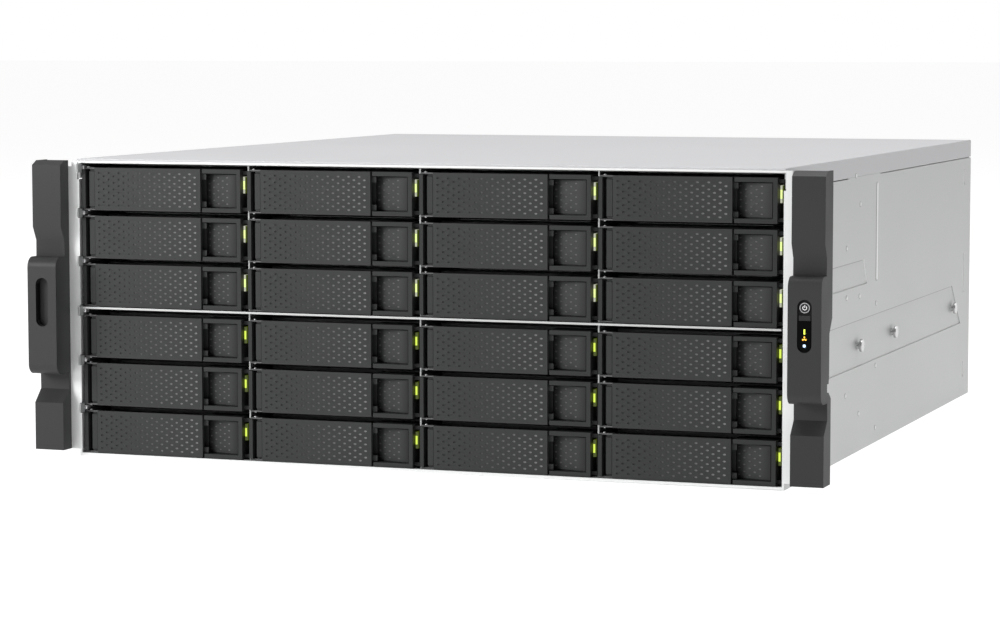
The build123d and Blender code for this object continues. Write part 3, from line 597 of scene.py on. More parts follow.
class Form:
    """Solid shapes gathered into one mesh, each with its finish, in millimetres."""

    def __init__(self) -> None:
        """Start with nothing."""
        self.bm = bmesh.new()
        self.finishes: list[Finish] = []

    def index(self, finish: Finish) -> int:
        """Slot of a finish on this mesh.

        Args:
            finish: The finish, added if it is new.

        Returns:
            The slot's number.
        """
        if finish not in self.finishes:
            self.finishes.append(finish)
        return self.finishes.index(finish)

    def prism(self, axis: Axis, points: Sequence[Point], along: Span, finish: Finish) -> "Form":
        """Add an outline that is drawn across an axis and extruded along it.

        Args:
            axis: Direction of the extrusion.
            points: Corners of the outline.
            along: Start and end on the axis.
            finish: Finish of all its faces.

        Returns:
            This form.
        """
        loops = [[self.bm.verts.new(axis.place(u, v, w)) for u, v in points] for w in along]
        faces = [self.bm.faces.new(loop) for loop in loops]
        count = len(points)
        for step in range(count):
            other = (step + 1) % count
            faces.append(self.bm.faces.new((loops[0][step], loops[0][other], loops[1][other], loops[1][step])))
        return self.paint(faces, finish)

    def box(self, x: Span, y: Span, z: Span, finish: Finish) -> "Form":
        """Add a block between pairs of limits."""
        return self.prism(Axis.Z, ((x[0], y[0]), (x[1], y[0]), (x[1], y[1]), (x[0], y[1])), z, finish)

    def lathe(
        self,
        axis: Axis,
        centre: Point,
        profile: Sequence[Point],
        finish: Finish,
        sides: int = 24,
        stretch: float = 1.0,
        closed: bool = False,
    ) -> "Form":
        """Add a profile turned round an axis.

        Args:
            axis: Direction of the axis.
            centre: Where it stands, across the axis.
            profile: Radius and place on the axis of each point.
            finish: Finish of all its faces.
            sides: Number of steps round.
            stretch: Height of the turned shape over its width.
            closed: Whether the profile is a closed loop, as a ring's is.

        Returns:
            This form.
        """
        rings = []
        for radius, along in profile:
            if radius == 0:
                rings.append([self.bm.verts.new(axis.place(*centre, along))] * sides)
                continue
            turns = [2 * math.pi * (step + 0.5) / sides for step in range(sides)]
            spots = [(centre[0] + radius * math.cos(t), centre[1] + stretch * radius * math.sin(t)) for t in turns]
            rings.append([self.bm.verts.new(axis.place(u, v, along)) for u, v in spots])
        pairs = list(zip(rings, rings[1:])) + ([(rings[-1], rings[0])] if closed else [])
        faces = []
        for one, two in pairs:
            for step in range(sides):
                other = (step + 1) % sides
                corners = list(dict.fromkeys((one[step], one[other], two[other], two[step])))
                faces.append(self.bm.faces.new(corners))
        if not closed:
            faces += [self.bm.faces.new(ring) for ring in (rings[0], rings[-1]) if ring[0] is not ring[1]]
        return self.paint(faces, finish)

    def screw(self, axis: Axis, centre: Point, seat: float, radius: float, rise: float) -> "Form":
        """Add a pan-head screw with a sunken drive.

        Args:
            axis: Direction of the screw.
            centre: Where it stands, across the axis.
            seat: Place of the head's underside on the axis.
            radius: Radius of the head.
            rise: Height of the head, towards the axis's high end.

        Returns:
            This form.
        """
        outer = seat + rise
        sunk = seat + rise * 0.35
        profile = ((radius, seat), (radius, seat + rise * 0.6), (radius * 0.8, outer), (radius * 0.42, outer))
        return self.lathe(axis, centre, profile + ((radius * 0.34, sunk), (0, sunk)), SCREW_STEEL, 12)

    def paint(self, faces: Sequence[bmesh.types.BMFace], finish: Finish) -> "Form":
        """Give faces their finish, with their normals outwards.

        Args:
            faces: The faces.
            finish: Their finish.

        Returns:
            This form.
        """
        bmesh.ops.recalc_face_normals(self.bm, faces=list(faces))
        slot = self.index(finish)
        for face in faces:
            face.material_index = slot
            face.smooth = True
        return self

    def mesh(self, name: str, edge: float = 0.0, segments: int = 2) -> bpy.types.Mesh:
        """Make the mesh, in metres, with its edges rounded.

        Args:
            name: Name of the mesh.
            edge: Radius of the rounded edges in millimetres, or nothing for sharp ones.
            segments: Steps of each rounded edge.

        Returns:
            The mesh.
        """
        self.bm.transform(Matrix.Scale(MM, 4))
        made = bpy.data.meshes.new(name)
        self.bm.to_mesh(made)
        for finish in self.finishes:
            made.materials.append(material_of(finish))
        made.set_sharp_from_angle(angle=math.radians(35))
        if not edge:
            return made
        rounding = {"width": edge * MM, "segments": segments, "angle_limit": math.radians(40)}
        return applied(made, "BEVEL", {**rounding, "miter_outer": "MITER_ARC", "limit_method": "ANGLE"})


class CadForm(Form):
    """A copy of a CAD node's solids, with the facets joined into clean faces."""

    def __init__(self, node: str, finish: Finish, origin: Optional[Vector] = None, pierced: bool = False) -> None:
        """Copy a node.

        Args:
            node: Name of the CAD node.
            finish: Finish of its faces.
            origin: Point that becomes the piece's own origin, in millimetres.
            pierced: Whether its plates have openings, which keeps their facets apart.
        """
        super().__init__()
        self.bm.from_mesh(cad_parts[node].data)
        self.bm.transform(Matrix.Scale(1 / MM, 4))
        if origin:
            self.bm.transform(Matrix.Translation(-origin))
        bmesh.ops.remove_doubles(self.bm, verts=self.bm.verts, dist=0.002)
        if not pierced:
            flat = math.radians(1.0)
            bmesh.ops.dissolve_limit(self.bm, angle_limit=flat, verts=self.bm.verts, edges=self.bm.edges)
        self.paint(self.bm.faces, finish)

    def solids(self) -> list[list[bmesh.types.BMVert]]:
        """The vertices of each separate solid.

        Returns:
            A list of vertices for each solid.
        """
        left = set(self.bm.verts)
        found = []
        while left:
            stack = [left.pop()]
            group = []
            while stack:
                vert = stack.pop()
                group.append(vert)
                others = [edge.other_vert(vert) for edge in vert.link_edges]
                fresh = [other for other in others if other in left]
                left.difference_update(fresh)
                stack += fresh
            found.append(group)
        return found

    def keep(self, wanted: Callable[[Vector, Vector], bool]) -> "CadForm":
        """Keep only the solids whose box passes a test.

        Args:
            wanted: Test of a solid's lowest and highest corner.

        Returns:
            This form.
        """
        dropped = []
        for group in self.solids():
            if not wanted(*limits(group)):
                dropped += group
        bmesh.ops.delete(self.bm, geom=dropped, context="VERTS")
        return self

    def repaint(self, finish: Finish, wanted: Callable[[Vector, Vector], bool]) -> "CadForm":
        """Give another finish to the faces whose centre and normal pass a test.

        Args:
            finish: The other finish.
            wanted: Test of a face's centre and normal.

        Returns:
            This form.
        """
        slot = self.index(finish)
        for face in self.bm.faces:
            if wanted(face.calc_center_median(), face.normal):
                face.material_index = slot
        return self

    def round_edges(self, wanted: Callable[[Vector, Vector], bool], radius: float, steps: int) -> "CadForm":
        """Round or chamfer the edges whose two ends pass a test.

        Args:
            wanted: Test of an edge's two ends.
            radius: Width of the rounding in millimetres.
            steps: Number of faces across it.

        Returns:
            This form.
        """
        edges = [edge for edge in self.bm.edges if wanted(edge.verts[0].co, edge.verts[1].co)]
        bmesh.ops.bevel(
            self.bm, geom=edges, offset=radius, segments=steps, profile=0.5, affect="EDGES", clamp_overlap=True
        )
        return self


def limits(group: Sequence[bmesh.types.BMVert]) -> tuple[Vector, Vector]:
    """Lowest and highest corner of a solid.

    Args:
        group: Its vertices.

    Returns:
        The two corners.
    """
    low = Vector([min(vert.co[axis] for vert in group) for axis in range(3)])
    high = Vector([max(vert.co[axis] for vert in group) for axis in range(3)])
    return low, high


def applied(mesh: bpy.types.Mesh, kind: str, settings: dict) -> bpy.types.Mesh:
    """A mesh with one modifier applied.

    Args:
        mesh: Mesh to change.
        kind: Blender's type of the modifier.
        settings: Its properties.

    Returns:
        The changed mesh.
    """
    holder = bpy.data.objects.new("holder", mesh)
    bpy.context.scene.collection.objects.link(holder)
    modifier = holder.modifiers.new("work", kind)
    for key, value in settings.items():
        setattr(modifier, key, value)
    shown = holder.evaluated_get(bpy.context.evaluated_depsgraph_get())
    made = bpy.data.meshes.new_from_object(shown)
    made.name = mesh.name
    bpy.data.objects.remove(holder)
    return made


def carved(mesh: bpy.types.Mesh, cutter: bpy.types.Mesh) -> bpy.types.Mesh:
    """A mesh with another cut out of it, whose finish its floors and walls take.

    Args:
        mesh: Mesh to cut.
        cutter: Mesh that is taken away.

    Returns:
        The cut mesh.
    """
    tool = bpy.data.objects.new("tool", cutter)
    bpy.context.scene.collection.objects.link(tool)
    settings = {"operation": "DIFFERENCE", "solver": "EXACT", "material_mode": "TRANSFER", "object": tool}
    made = applied(mesh, "BOOLEAN", settings)
    bpy.data.objects.remove(tool)
    return made


def joined(name: str, meshes: Sequence[bpy.types.Mesh]) -> bpy.types.Mesh:
    """Several meshes as one, with their finishes.

    Args:
        name: Name of the whole.
        meshes: The meshes.

    Returns:
        The whole.
    """
    whole = bmesh.new()
    finishes: list[bpy.types.Material] = []
    for mesh in meshes:
        start = len(whole.faces)
        whole.from_mesh(mesh)
        whole.faces.ensure_lookup_table()
        for face in whole.faces[start:]:
            finish = mesh.materials[face.material_index]
            if finish not in finishes:
                finishes.append(finish)
            face.material_index = finishes.index(finish)
    made = bpy.data.meshes.new(name)
    whole.to_mesh(made)
    for finish in finishes:
        made.materials.append(finish)
    return made


def piece(
    name: str,
    mesh: bpy.types.Mesh,
    body: str,
    origin: Optional[Vector] = None,
    replaced: Sequence[str] = (),
) -> bpy.types.Object:
    """Put a mesh in the scene as a piece that rides on a body.

    Args:
        name: Name of the piece.
        mesh: Its mesh, in metres from its origin.
        body: Body that it moves with.
        origin: Place in millimetres.
        replaced: CAD nodes that it stands for.

    Returns:
        The new object.
    """
    made = bpy.data.objects.new(name, mesh)
    bpy.context.scene.collection.objects.link(made)
    if origin:
        made.location = origin * MM
    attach(made, body)
    if replaced:
        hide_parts(*replaced)
    LOG.info("%s rides on %s", name, body)
    return made


def settled(mesh: bpy.types.Mesh) -> bpy.types.Mesh:
    """A mesh whose flats stay flat in the light, whatever rounds their edges."""
    return applied(mesh, "WEIGHTED_NORMAL", {"keep_sharp": True, "weight": 60})


@dataclass
class Lever:
    """Hinged lever of a tray, with its rows of small dimples and steel hook plates."""

    edge: float = 0.22
    dot_first: float = -40.9
    dot_pitch: float = 3.25
    dot_columns: int = 20
    dot_low: float = 3.0
    dot_rise: float = 3.8
    dots_long: int = 6
    dot_radius: float = 0.92
    dot_flatten: float = 0.56
    dot_depth: float = 0.45
    face: float = 0.8
    panel_right: float = 24.55
    panel_back: float = 3.0
    hook_right: float = -44.2
    hook_height: float = 1.0
    height: float = 25.1
    rivet_place: Point = (-49.4, 4.0)
    rivet_radius: float = 0.95

    def mesh(self) -> bpy.types.Mesh:
        """Build the lever's mesh, from its bay's reference point.

        Returns:
            The mesh.
        """
        form = CadForm("lever_r1c1", LEVER_PLASTIC, GRID.origin(1, 1))
        form.repaint(HOOK_STEEL, self.is_hook)
        # The teeth and ribs behind the panel's free end are painted near-black: painted shade.
        form.repaint(DARK_PLASTIC, self.is_behind_panel)
        body = carved(form.mesh("lever", self.edge), self.dots().mesh("dots"))
        return settled(joined("lever", (body, self.rivet().mesh("rivet"))))

    def rivet(self) -> Form:
        """Domed ends of the hinge pin, over and under the hook plates.

        Returns:
            The form.
        """
        form = Form()
        radius = self.rivet_radius
        for seat, side in ((self.height - 0.1, 1), (0.1, -1)):
            profile = ((radius, seat), (radius * 0.9, seat + side * 0.35), (radius * 0.5, seat + side * 0.7))
            form.lathe(Axis.Z, self.rivet_place, profile + ((0, seat + side * 0.8),), BRIGHT_STEEL, 12)
        return form

    def is_behind_panel(self, centre: Vector, normal: Vector) -> bool:
        """Whether a face is on the teeth and ribs behind the panel's free end."""
        return centre.x > self.panel_right - 1 and centre.y > self.panel_back + 0.05

    def is_hook(self, centre: Vector, normal: Vector) -> bool:
        """Whether a face belongs to a hook plate."""
        outer = not self.hook_height <= centre.z <= self.height - self.hook_height
        return centre.x < self.hook_right and outer

    def dots(self) -> Form:
        """Cutters of the dimples, in staggered columns.

        Returns:
            The form.
        """
        form = Form()
        middle = self.dot_low + self.dot_rise * (self.dots_long - 1) / 2
        peg = ((self.dot_radius, self.face - 0.3), (self.dot_radius, self.face + self.dot_depth))
        for column in range(self.dot_columns):
            count = self.dots_long - column % 2
            x = self.dot_first + column * self.dot_pitch
            for step in range(count):
                z = middle + (step - (count - 1) / 2) * self.dot_rise
                form.lathe(Axis.Y, (x, z), peg, LEVER_DOTS, 10, self.dot_flatten)
        return form


@dataclass
class Tray:
    """Tray carrier with its latch, the dark rib of painted shade beside its light pipe and its drive."""

    edge: float = 0.25
    drive_front: float = 20.0
    latch_back: float = 14.0
    shade_rib_x: Span = (52.75, 53.85)
    shade_rib_y: Span = (4.25, 4.75)
    shade_rib_z: Span = (0.9, 24.2)
    shade_rib_root: Span = (49.9, 50.9)
    shade_rib_root_height: float = 2.2
    drive_half: float = 50.8
    drive_y: Span = (30.0, 177.0)
    drive_z: Span = (0.2, 26.3)
    lid_inset: float = 2.4
    lid_depth: float = 1.2
    lid_cut: float = 9.0
    boss: Span = (19.0, 17.0)
    plug_x: Span = (-36.0, -3.0)
    latch_dots: tuple[float, ...] = (27.6, 30.8, 34.0, 37.2, 40.4)
    latch_middle: float = 12.55
    dot_rise: float = 3.8
    dot_radius: float = 0.75
    dot_flatten: float = 0.56
    dots_long: int = 5
    latch_face: Point = (25.7, 7.56)
    latch_slope: float = 0.2759
    latch_x: Span = (25.85, 46.95)
    latch_z: Span = (3.0, 22.1)
    latch_thick: float = 0.95
    recess_x: Span = (25.7, 29.3)
    recess_z: Span = (2.2, 22.9)

    def mesh(self) -> bpy.types.Mesh:
        """Build the tray's mesh, from its bay's reference point.

        Returns:
            The mesh.
        """
        origin = GRID.origin(1, 1)
        carrier = CadForm("tray_r1c1", TRAY_PLASTIC, origin)
        carrier.keep(lambda low, high: low.y < self.drive_front and high.y > self.latch_back)
        plate = carved(self.plate().mesh("latch", 0.15), self.dots().mesh("latch dots"))
        # The finger recess behind the lever's teeth is painted near-black: painted shade.
        carrier.repaint(DARK_PLASTIC, self.is_notch)
        parts = (carrier.mesh("carrier", self.edge), plate, self.shade_ribs().mesh("shade_ribs", 0.1), self.drive())
        return settled(joined("tray", parts))

    def dots(self) -> Form:
        """Cutters of the latch's faint dots.

        Returns:
            The form.
        """
        form = Form()
        for column, x in enumerate(self.latch_dots):
            y = self.slope(x)
            peg = ((self.dot_radius, y - 1.2), (self.dot_radius, y + 0.3))
            count = self.dots_long - column % 2
            for step in range(count):
                z = self.latch_middle + (step - (count - 1) / 2) * self.dot_rise
                form.lathe(Axis.Y, (x, z), peg, LATCH_DOTS, 8, self.dot_flatten)
        return form

    def slope(self, x: float) -> float:
        """Depth of the latch plate's sloping face."""
        return self.latch_face[1] - (x - self.latch_face[0]) * self.latch_slope

    def is_notch(self, centre: Vector, normal: Vector) -> bool:
        """Whether a face lines the finger recess at its left, behind the lever's teeth."""
        across = self.recess_x[0] - 0.1 < centre.x < self.recess_x[1]
        return across and self.recess_z[0] < centre.z < self.recess_z[1] and centre.y > 1.2

    def plate(self) -> Form:
        """Latch plate that follows the slope of the finger recess.

        Returns:
            The form.
        """
        fronts = [(x, self.slope(x)) for x in self.latch_x]
        backs = [(x, y + self.latch_thick) for x, y in reversed(fronts)]
        return Form().prism(Axis.Z, fronts + backs, self.latch_z, LATCH_PLASTIC)

    def shade_ribs(self) -> Form:
        """Dark rib of painted shade that hides the divider's edge beside the light pipe, and its root on the bezel.

        Returns:
            The form.
        """
        form = Form()
        # The near-black strip is painted shade over the gap beside the light pipe.
        form.box(self.shade_rib_x, self.shade_rib_y, self.shade_rib_z, DARK_PLASTIC)
        (low, high), root = self.shade_rib_z, self.shade_rib_root_height
        for span in ((low, low + root), (high - root, high)):
            form.box((self.shade_rib_root[0], self.shade_rib_x[0] + 0.2), self.shade_rib_y, span, TRAY_PLASTIC)
        return form

    def drive(self) -> bpy.types.Mesh:
        """Drive with its cast base, its screwed lid and the board underneath.

        Returns:
            The mesh.
        """
        low, high = self.drive_z
        seam = high - self.lid_depth
        base = Form().box((-self.drive_half, self.drive_half), self.drive_y, (low + 1.0, seam), DRIVE_CASTING)
        lid = Form().prism(Axis.Z, self.lid_outline(), (seam, high - 0.3), DRIVE_LID)
        parts = (base.mesh("base", 1.2, 3), lid.mesh("lid", 0.3), self.drive_trim().mesh("trim"))
        return joined("drive", parts)

    def lid_outline(self) -> tuple[Point, ...]:
        """Outline of the drive's lid, with its four corners cut off.

        Returns:
            The corners of the outline.
        """
        inset, cut = self.lid_inset, self.lid_cut
        left, right = inset - self.drive_half, self.drive_half - inset
        near, far = self.drive_y[0] + inset, self.drive_y[1] - inset
        return (
            (left + cut, near), (right - cut, near), (right, near + cut), (right, far - cut),
            (right - cut, far), (left + cut, far), (left, far - cut), (left, near + cut),
        )

    def drive_trim(self) -> Form:
        """Ring and screws of the drive's lid, its board and its plug.

        Returns:
            The form.
        """
        form = Form()
        (near, far), (low, high) = self.drive_y, self.drive_z
        middle, seat = (near + far) / 2, high - 0.4
        outer, inner = self.boss
        ring = ((outer, seat), (outer, high), (inner, high), (inner, seat))
        form.lathe(Axis.Z, (0, middle + 12), ring, DRIVE_LID, 40)
        wide = self.drive_half - self.lid_inset - 4
        reach = self.lid_inset + 14
        for spot in [(x, y) for x in (-wide, wide) for y in (near + reach, middle, far - reach)]:
            form.screw(Axis.Z, spot, seat, 2.2, 0.38)
        form.box((5 - self.drive_half, self.drive_half - 5), (near + 30, far - 2), (low, low + 1.1), BOARD)
        form.box(self.plug_x, (far - 4, far), (low + 1.2, low + 6.5), DARK_PLASTIC)
        return form


@dataclass
class Bays:
    """The levers and trays of all bays."""

    def build(self) -> None:
        """Make one lever and one tray and place them in every bay."""
        lever, tray = Lever().mesh(), Tray().mesh()
        for row, column in GRID.bays():
            bay = f"r{row}c{column}"
            origin = GRID.origin(row, column)
            piece(f"lever_face_{bay}", lever, f"lever_{bay}", origin, [f"lever_{bay}"])
            piece(f"carrier_{bay}", tray, f"tray_{bay}", origin, [f"tray_{bay}"])


@dataclass
class LightPipes:
    """Lit lenses beside the trays, their clear stems and the smoked window under the button."""

    lens_x: Span = (50.95, 52.65)
    lit_width: float = 1.2
    lens_y: Span = (2.9, 9.05)
    lens_z: Span = (11.3, 20.9)
    end: float = 2.3
    deep_rows: int = 4

    def build(self) -> None:
        """Place the lenses, stems and window as one piece."""
        lenses = Form()
        for row, column in GRID.bays():
            self.add_lens(lenses, GRID.origin(row, column), row >= self.deep_rows)
        stems = CadForm("light_pipes", PIPE)
        stems.keep(lambda low, high: high.y - low.y > 20)
        stems.repaint(LENS_SHADOW, lambda centre, normal: centre.y < GRID.front + self.lens_y[1] + 1)
        window = CadForm("light_pipes", WINDOW).keep(lambda low, high: high.y - low.y < 20)
        parts = (lenses.mesh("lenses", 0.15), stems.mesh("stems"), window.mesh("window", 0.2))
        mesh = settled(joined("light pipes", parts))
        piece("light_pipe_set", mesh, "chassis", None, ["light_pipes"])

    def add_lens(self, form: Form, origin: Vector, deep: bool) -> None:
        """Add a lens face: a lit middle between two dimmer ends.

        Args:
            form: Form that takes it.
            origin: The bay's reference point.
            deep: Whether it is one of the lower, more saturated ones.
        """
        low, high = self.lens_z
        middle = (low + self.end, high - self.end)
        end = LENS_SHADOW if deep else LENS_END
        spans = (((low, middle[0]), end), (middle, LENS_DEEP if deep else LENS_LIT), ((middle[1], high), end))
        x = (origin.x + self.lens_x[0], origin.x + self.lens_x[0] + self.lit_width)
        y = (origin.y + self.lens_y[0], origin.y + self.lens_y[1])
        for (bottom, top), finish in spans:
            form.box(x, y, (origin.z + bottom, origin.z + top), finish)


@dataclass
class Shell:
    """Sheet steel of the chassis: tub, top cover and cage, with rivets, screws and strike tabs."""

    rivets: tuple[Point, ...] = (
        (161.9, 165.4), (173.5, 148.1), (140.0, 123.7), (140.6, 94.5), (173.2, 93.1),
        (216.9, 85.5), (216.7, 47.4), (139.6, 36.9), (173.2, 22.7), (217.3, 9.1),
    )
    rivet_radius: float = 1.25
    rivet_rise: float = 0.35
    tab_face: Span = (-3.8, 1.7)
    tab_lug: Span = (1.9, 7.0)
    cover_screws: tuple[float, ...] = (-180.0, -60.0, 60.0, 180.0)
    rear_screws: tuple[Point, ...] = (
        (-206, 150), (-206, 60), (206, 30), (206, 100), (206, 160), (-40, 160), (40, 160), (60, 30),
    )
    edge_depth: float = 8.0
    press_depth: float = 0.6
    band: Span = (51.1, 79.0)
    channel: Span = (99.4, 114.4)
    channel_end: float = 184.0
    shadow_lines: tuple[Place, ...] = ((79.0, 21.0, 440.0), (114.4, 21.0, 183.0))
    groove: Place = (215.25, 99.4, 159.3)

    def build(self) -> None:
        """Dress the tub, the cover and the cage."""
        walls = CadForm("chassis_tub", STEEL, pierced=True)
        # Front-facing faces near the front take the lighter copy of the steel: painted light.
        walls.repaint(LIT_STEEL, lambda centre, normal: normal.y < -0.9 and centre.y < GRID.front + 3)
        # The rear steps of the pressed panels are painted near-white to cancel their shade.
        walls.repaint(PAINTED_LIGHT_STEEL, self.is_pressed_end)
        walls.repaint(STUD_STEEL, self.is_stud)
        tub = joined("tub", (walls.mesh("tub", 0.18), self.fixings().mesh("fixings")))
        piece("tub_shell", settled(tub), "chassis", None, ["chassis_tub"])
        cover = joined("cover", (CadForm("top_cover", COVER_STEEL).mesh("cover", 0.3), self.cover_trim().mesh("trim")))
        piece("cover_shell", settled(cover), "top_cover", None, ["top_cover"])
        # The cage's steel is darkened as painted shade inside the bays; its front-facing edges keep the plain steel.
        frames = CadForm("drive_cage", SHADED_CAGE_STEEL, pierced=True)
        frames.repaint(STEEL, lambda centre, normal: normal.y < -0.9 and centre.y < GRID.front + self.edge_depth)
        cage = joined("cage", (frames.mesh("cage", 0.12), self.tabs()))
        piece("cage_shell", settled(cage), "chassis", None, ["drive_cage"])

    def is_stud(self, centre: Vector, normal: Vector) -> bool:
        """Whether a face is on a rail stud, proud of a side wall."""
        return abs(centre.x) > GRID.wall + 0.15 and centre.y > GRID.front + 20

    def is_pressed_end(self, centre: Vector, normal: Vector) -> bool:
        """Whether a face is the rear step of a panel pressed into a side wall."""
        on_step = GRID.wall - self.press_depth < abs(centre.x) < GRID.wall
        return on_step and normal.y < -0.7 and centre.y > GRID.front + 100

    def fixings(self) -> Form:
        """Flush rivets of the side walls and the screws of the rear panel.

        Returns:
            The form.
        """
        form = Form()
        radius, rise = self.rivet_radius, self.rivet_rise
        for side in (-1, 1):
            seat = side * GRID.wall
            pressed = side * (GRID.wall - self.press_depth)
            self.add_marks(form, side, pressed)
            for along, up in self.rivets:
                base = pressed if self.is_sunk(along, up) else seat
                lift = side * rise
                spot = (GRID.front + along, up)
                # Each rivet sits in a ring of painted shade, with a dome of the lighter steel as a painted highlight.
                rim = ((radius + 0.4, base - lift), (radius + 0.4, base + side * 0.06), (0, base + side * 0.06))
                form.lathe(Axis.X, spot, rim, SHADE_STEEL, 16)
                profile = ((radius, base - lift), (radius, base), (radius * 0.8, base + lift), (0, base + lift * 1.2))
                form.lathe(Axis.X, (spot[0] + 0.5, up), profile, LIT_STEEL, 16)
        for spot in self.rear_screws:
            form.screw(Axis.Y, spot, GRID.rear - 0.05, 3.0, 1.3)
        return form

    def is_sunk(self, along: float, up: float) -> bool:
        """Whether a rivet stands in the pressed band or channel."""
        in_channel = self.channel[0] < up < self.channel[1] and along < self.channel_end
        return in_channel or self.band[0] < up < self.band[1]

    def add_marks(self, form: Form, side: int, pressed: float) -> None:
        """Add the painted shadow lines and painted highlights of the pressed band, channel and upright groove.

        Args:
            form: Form that takes them.
            side: Side wall, -1 at the left and 1 at the right.
            pressed: Place of the pressed floors across the server.
        """
        skin = (pressed - side * 0.05, pressed + side * 0.06)
        # Painted shadow lines under the upper edges of the pressed band and channel.
        for up, start, end in self.shadow_lines:
            form.box(skin, (GRID.front + start, GRID.front + end), (up - 0.55, up), SHADE_STEEL)
        start, low, high = self.groove
        # The groove's dark strip is painted shade and its pale strip a painted highlight.
        for shift, width, rise, finish in ((0.1, 1.5, 0.02, SHADE_STEEL), (1.6, 2.9, 0.14, PAINTED_LIGHT_STEEL)):
            span = (GRID.front + start + shift, GRID.front + start + shift + width)
            face = (side * (GRID.wall - self.press_depth - 0.05), side * (GRID.wall + rise))
            form.box(face, span, (low + 0.4, high - 0.4), finish)

    def cover_trim(self) -> Form:
        """Rear screws of the lid, and its thin rear lip.

        Returns:
            The form.
        """
        form = Form()
        for x in self.cover_screws:
            form.screw(Axis.Y, (x, GRID.top - 5.5), GRID.rear - 0.02, 2.6, 1.2)
        wide = GRID.wall - 2
        form.box((-wide, wide), (GRID.rear - 0.9, GRID.rear - 0.1), (GRID.top - 9, GRID.top - 1), STEEL)
        return form

    def tabs(self) -> bpy.types.Mesh:
        """Formed steel tabs at the left wall that the levers' hooks pull against.

        Returns:
            The mesh.
        """
        form = Form()
        left = -GRID.wall + 1.25
        for row in range(1, GRID.rows + 1):
            low = GRID.bottom(row) + 25.1
            high = GRID.top - 2.4 if row == 1 else GRID.bottom(row - 1)
            middle = min((low + high) / 2, GRID.top - 5.4)
            face = (GRID.front + self.tab_face[0], GRID.front + self.tab_face[1])
            lug = (GRID.front + self.tab_lug[0], GRID.front + self.tab_lug[1])
            form.box((left - 0.1, left + 1.25), face, (middle - 2.7, middle + 2.7), TAB_STEEL)
            form.box((left + 0.6, left + 2.3), lug, (middle - 1.3, middle + 1.3), BRIGHT_STEEL)
        return form.mesh("tabs", 0.5, 3)


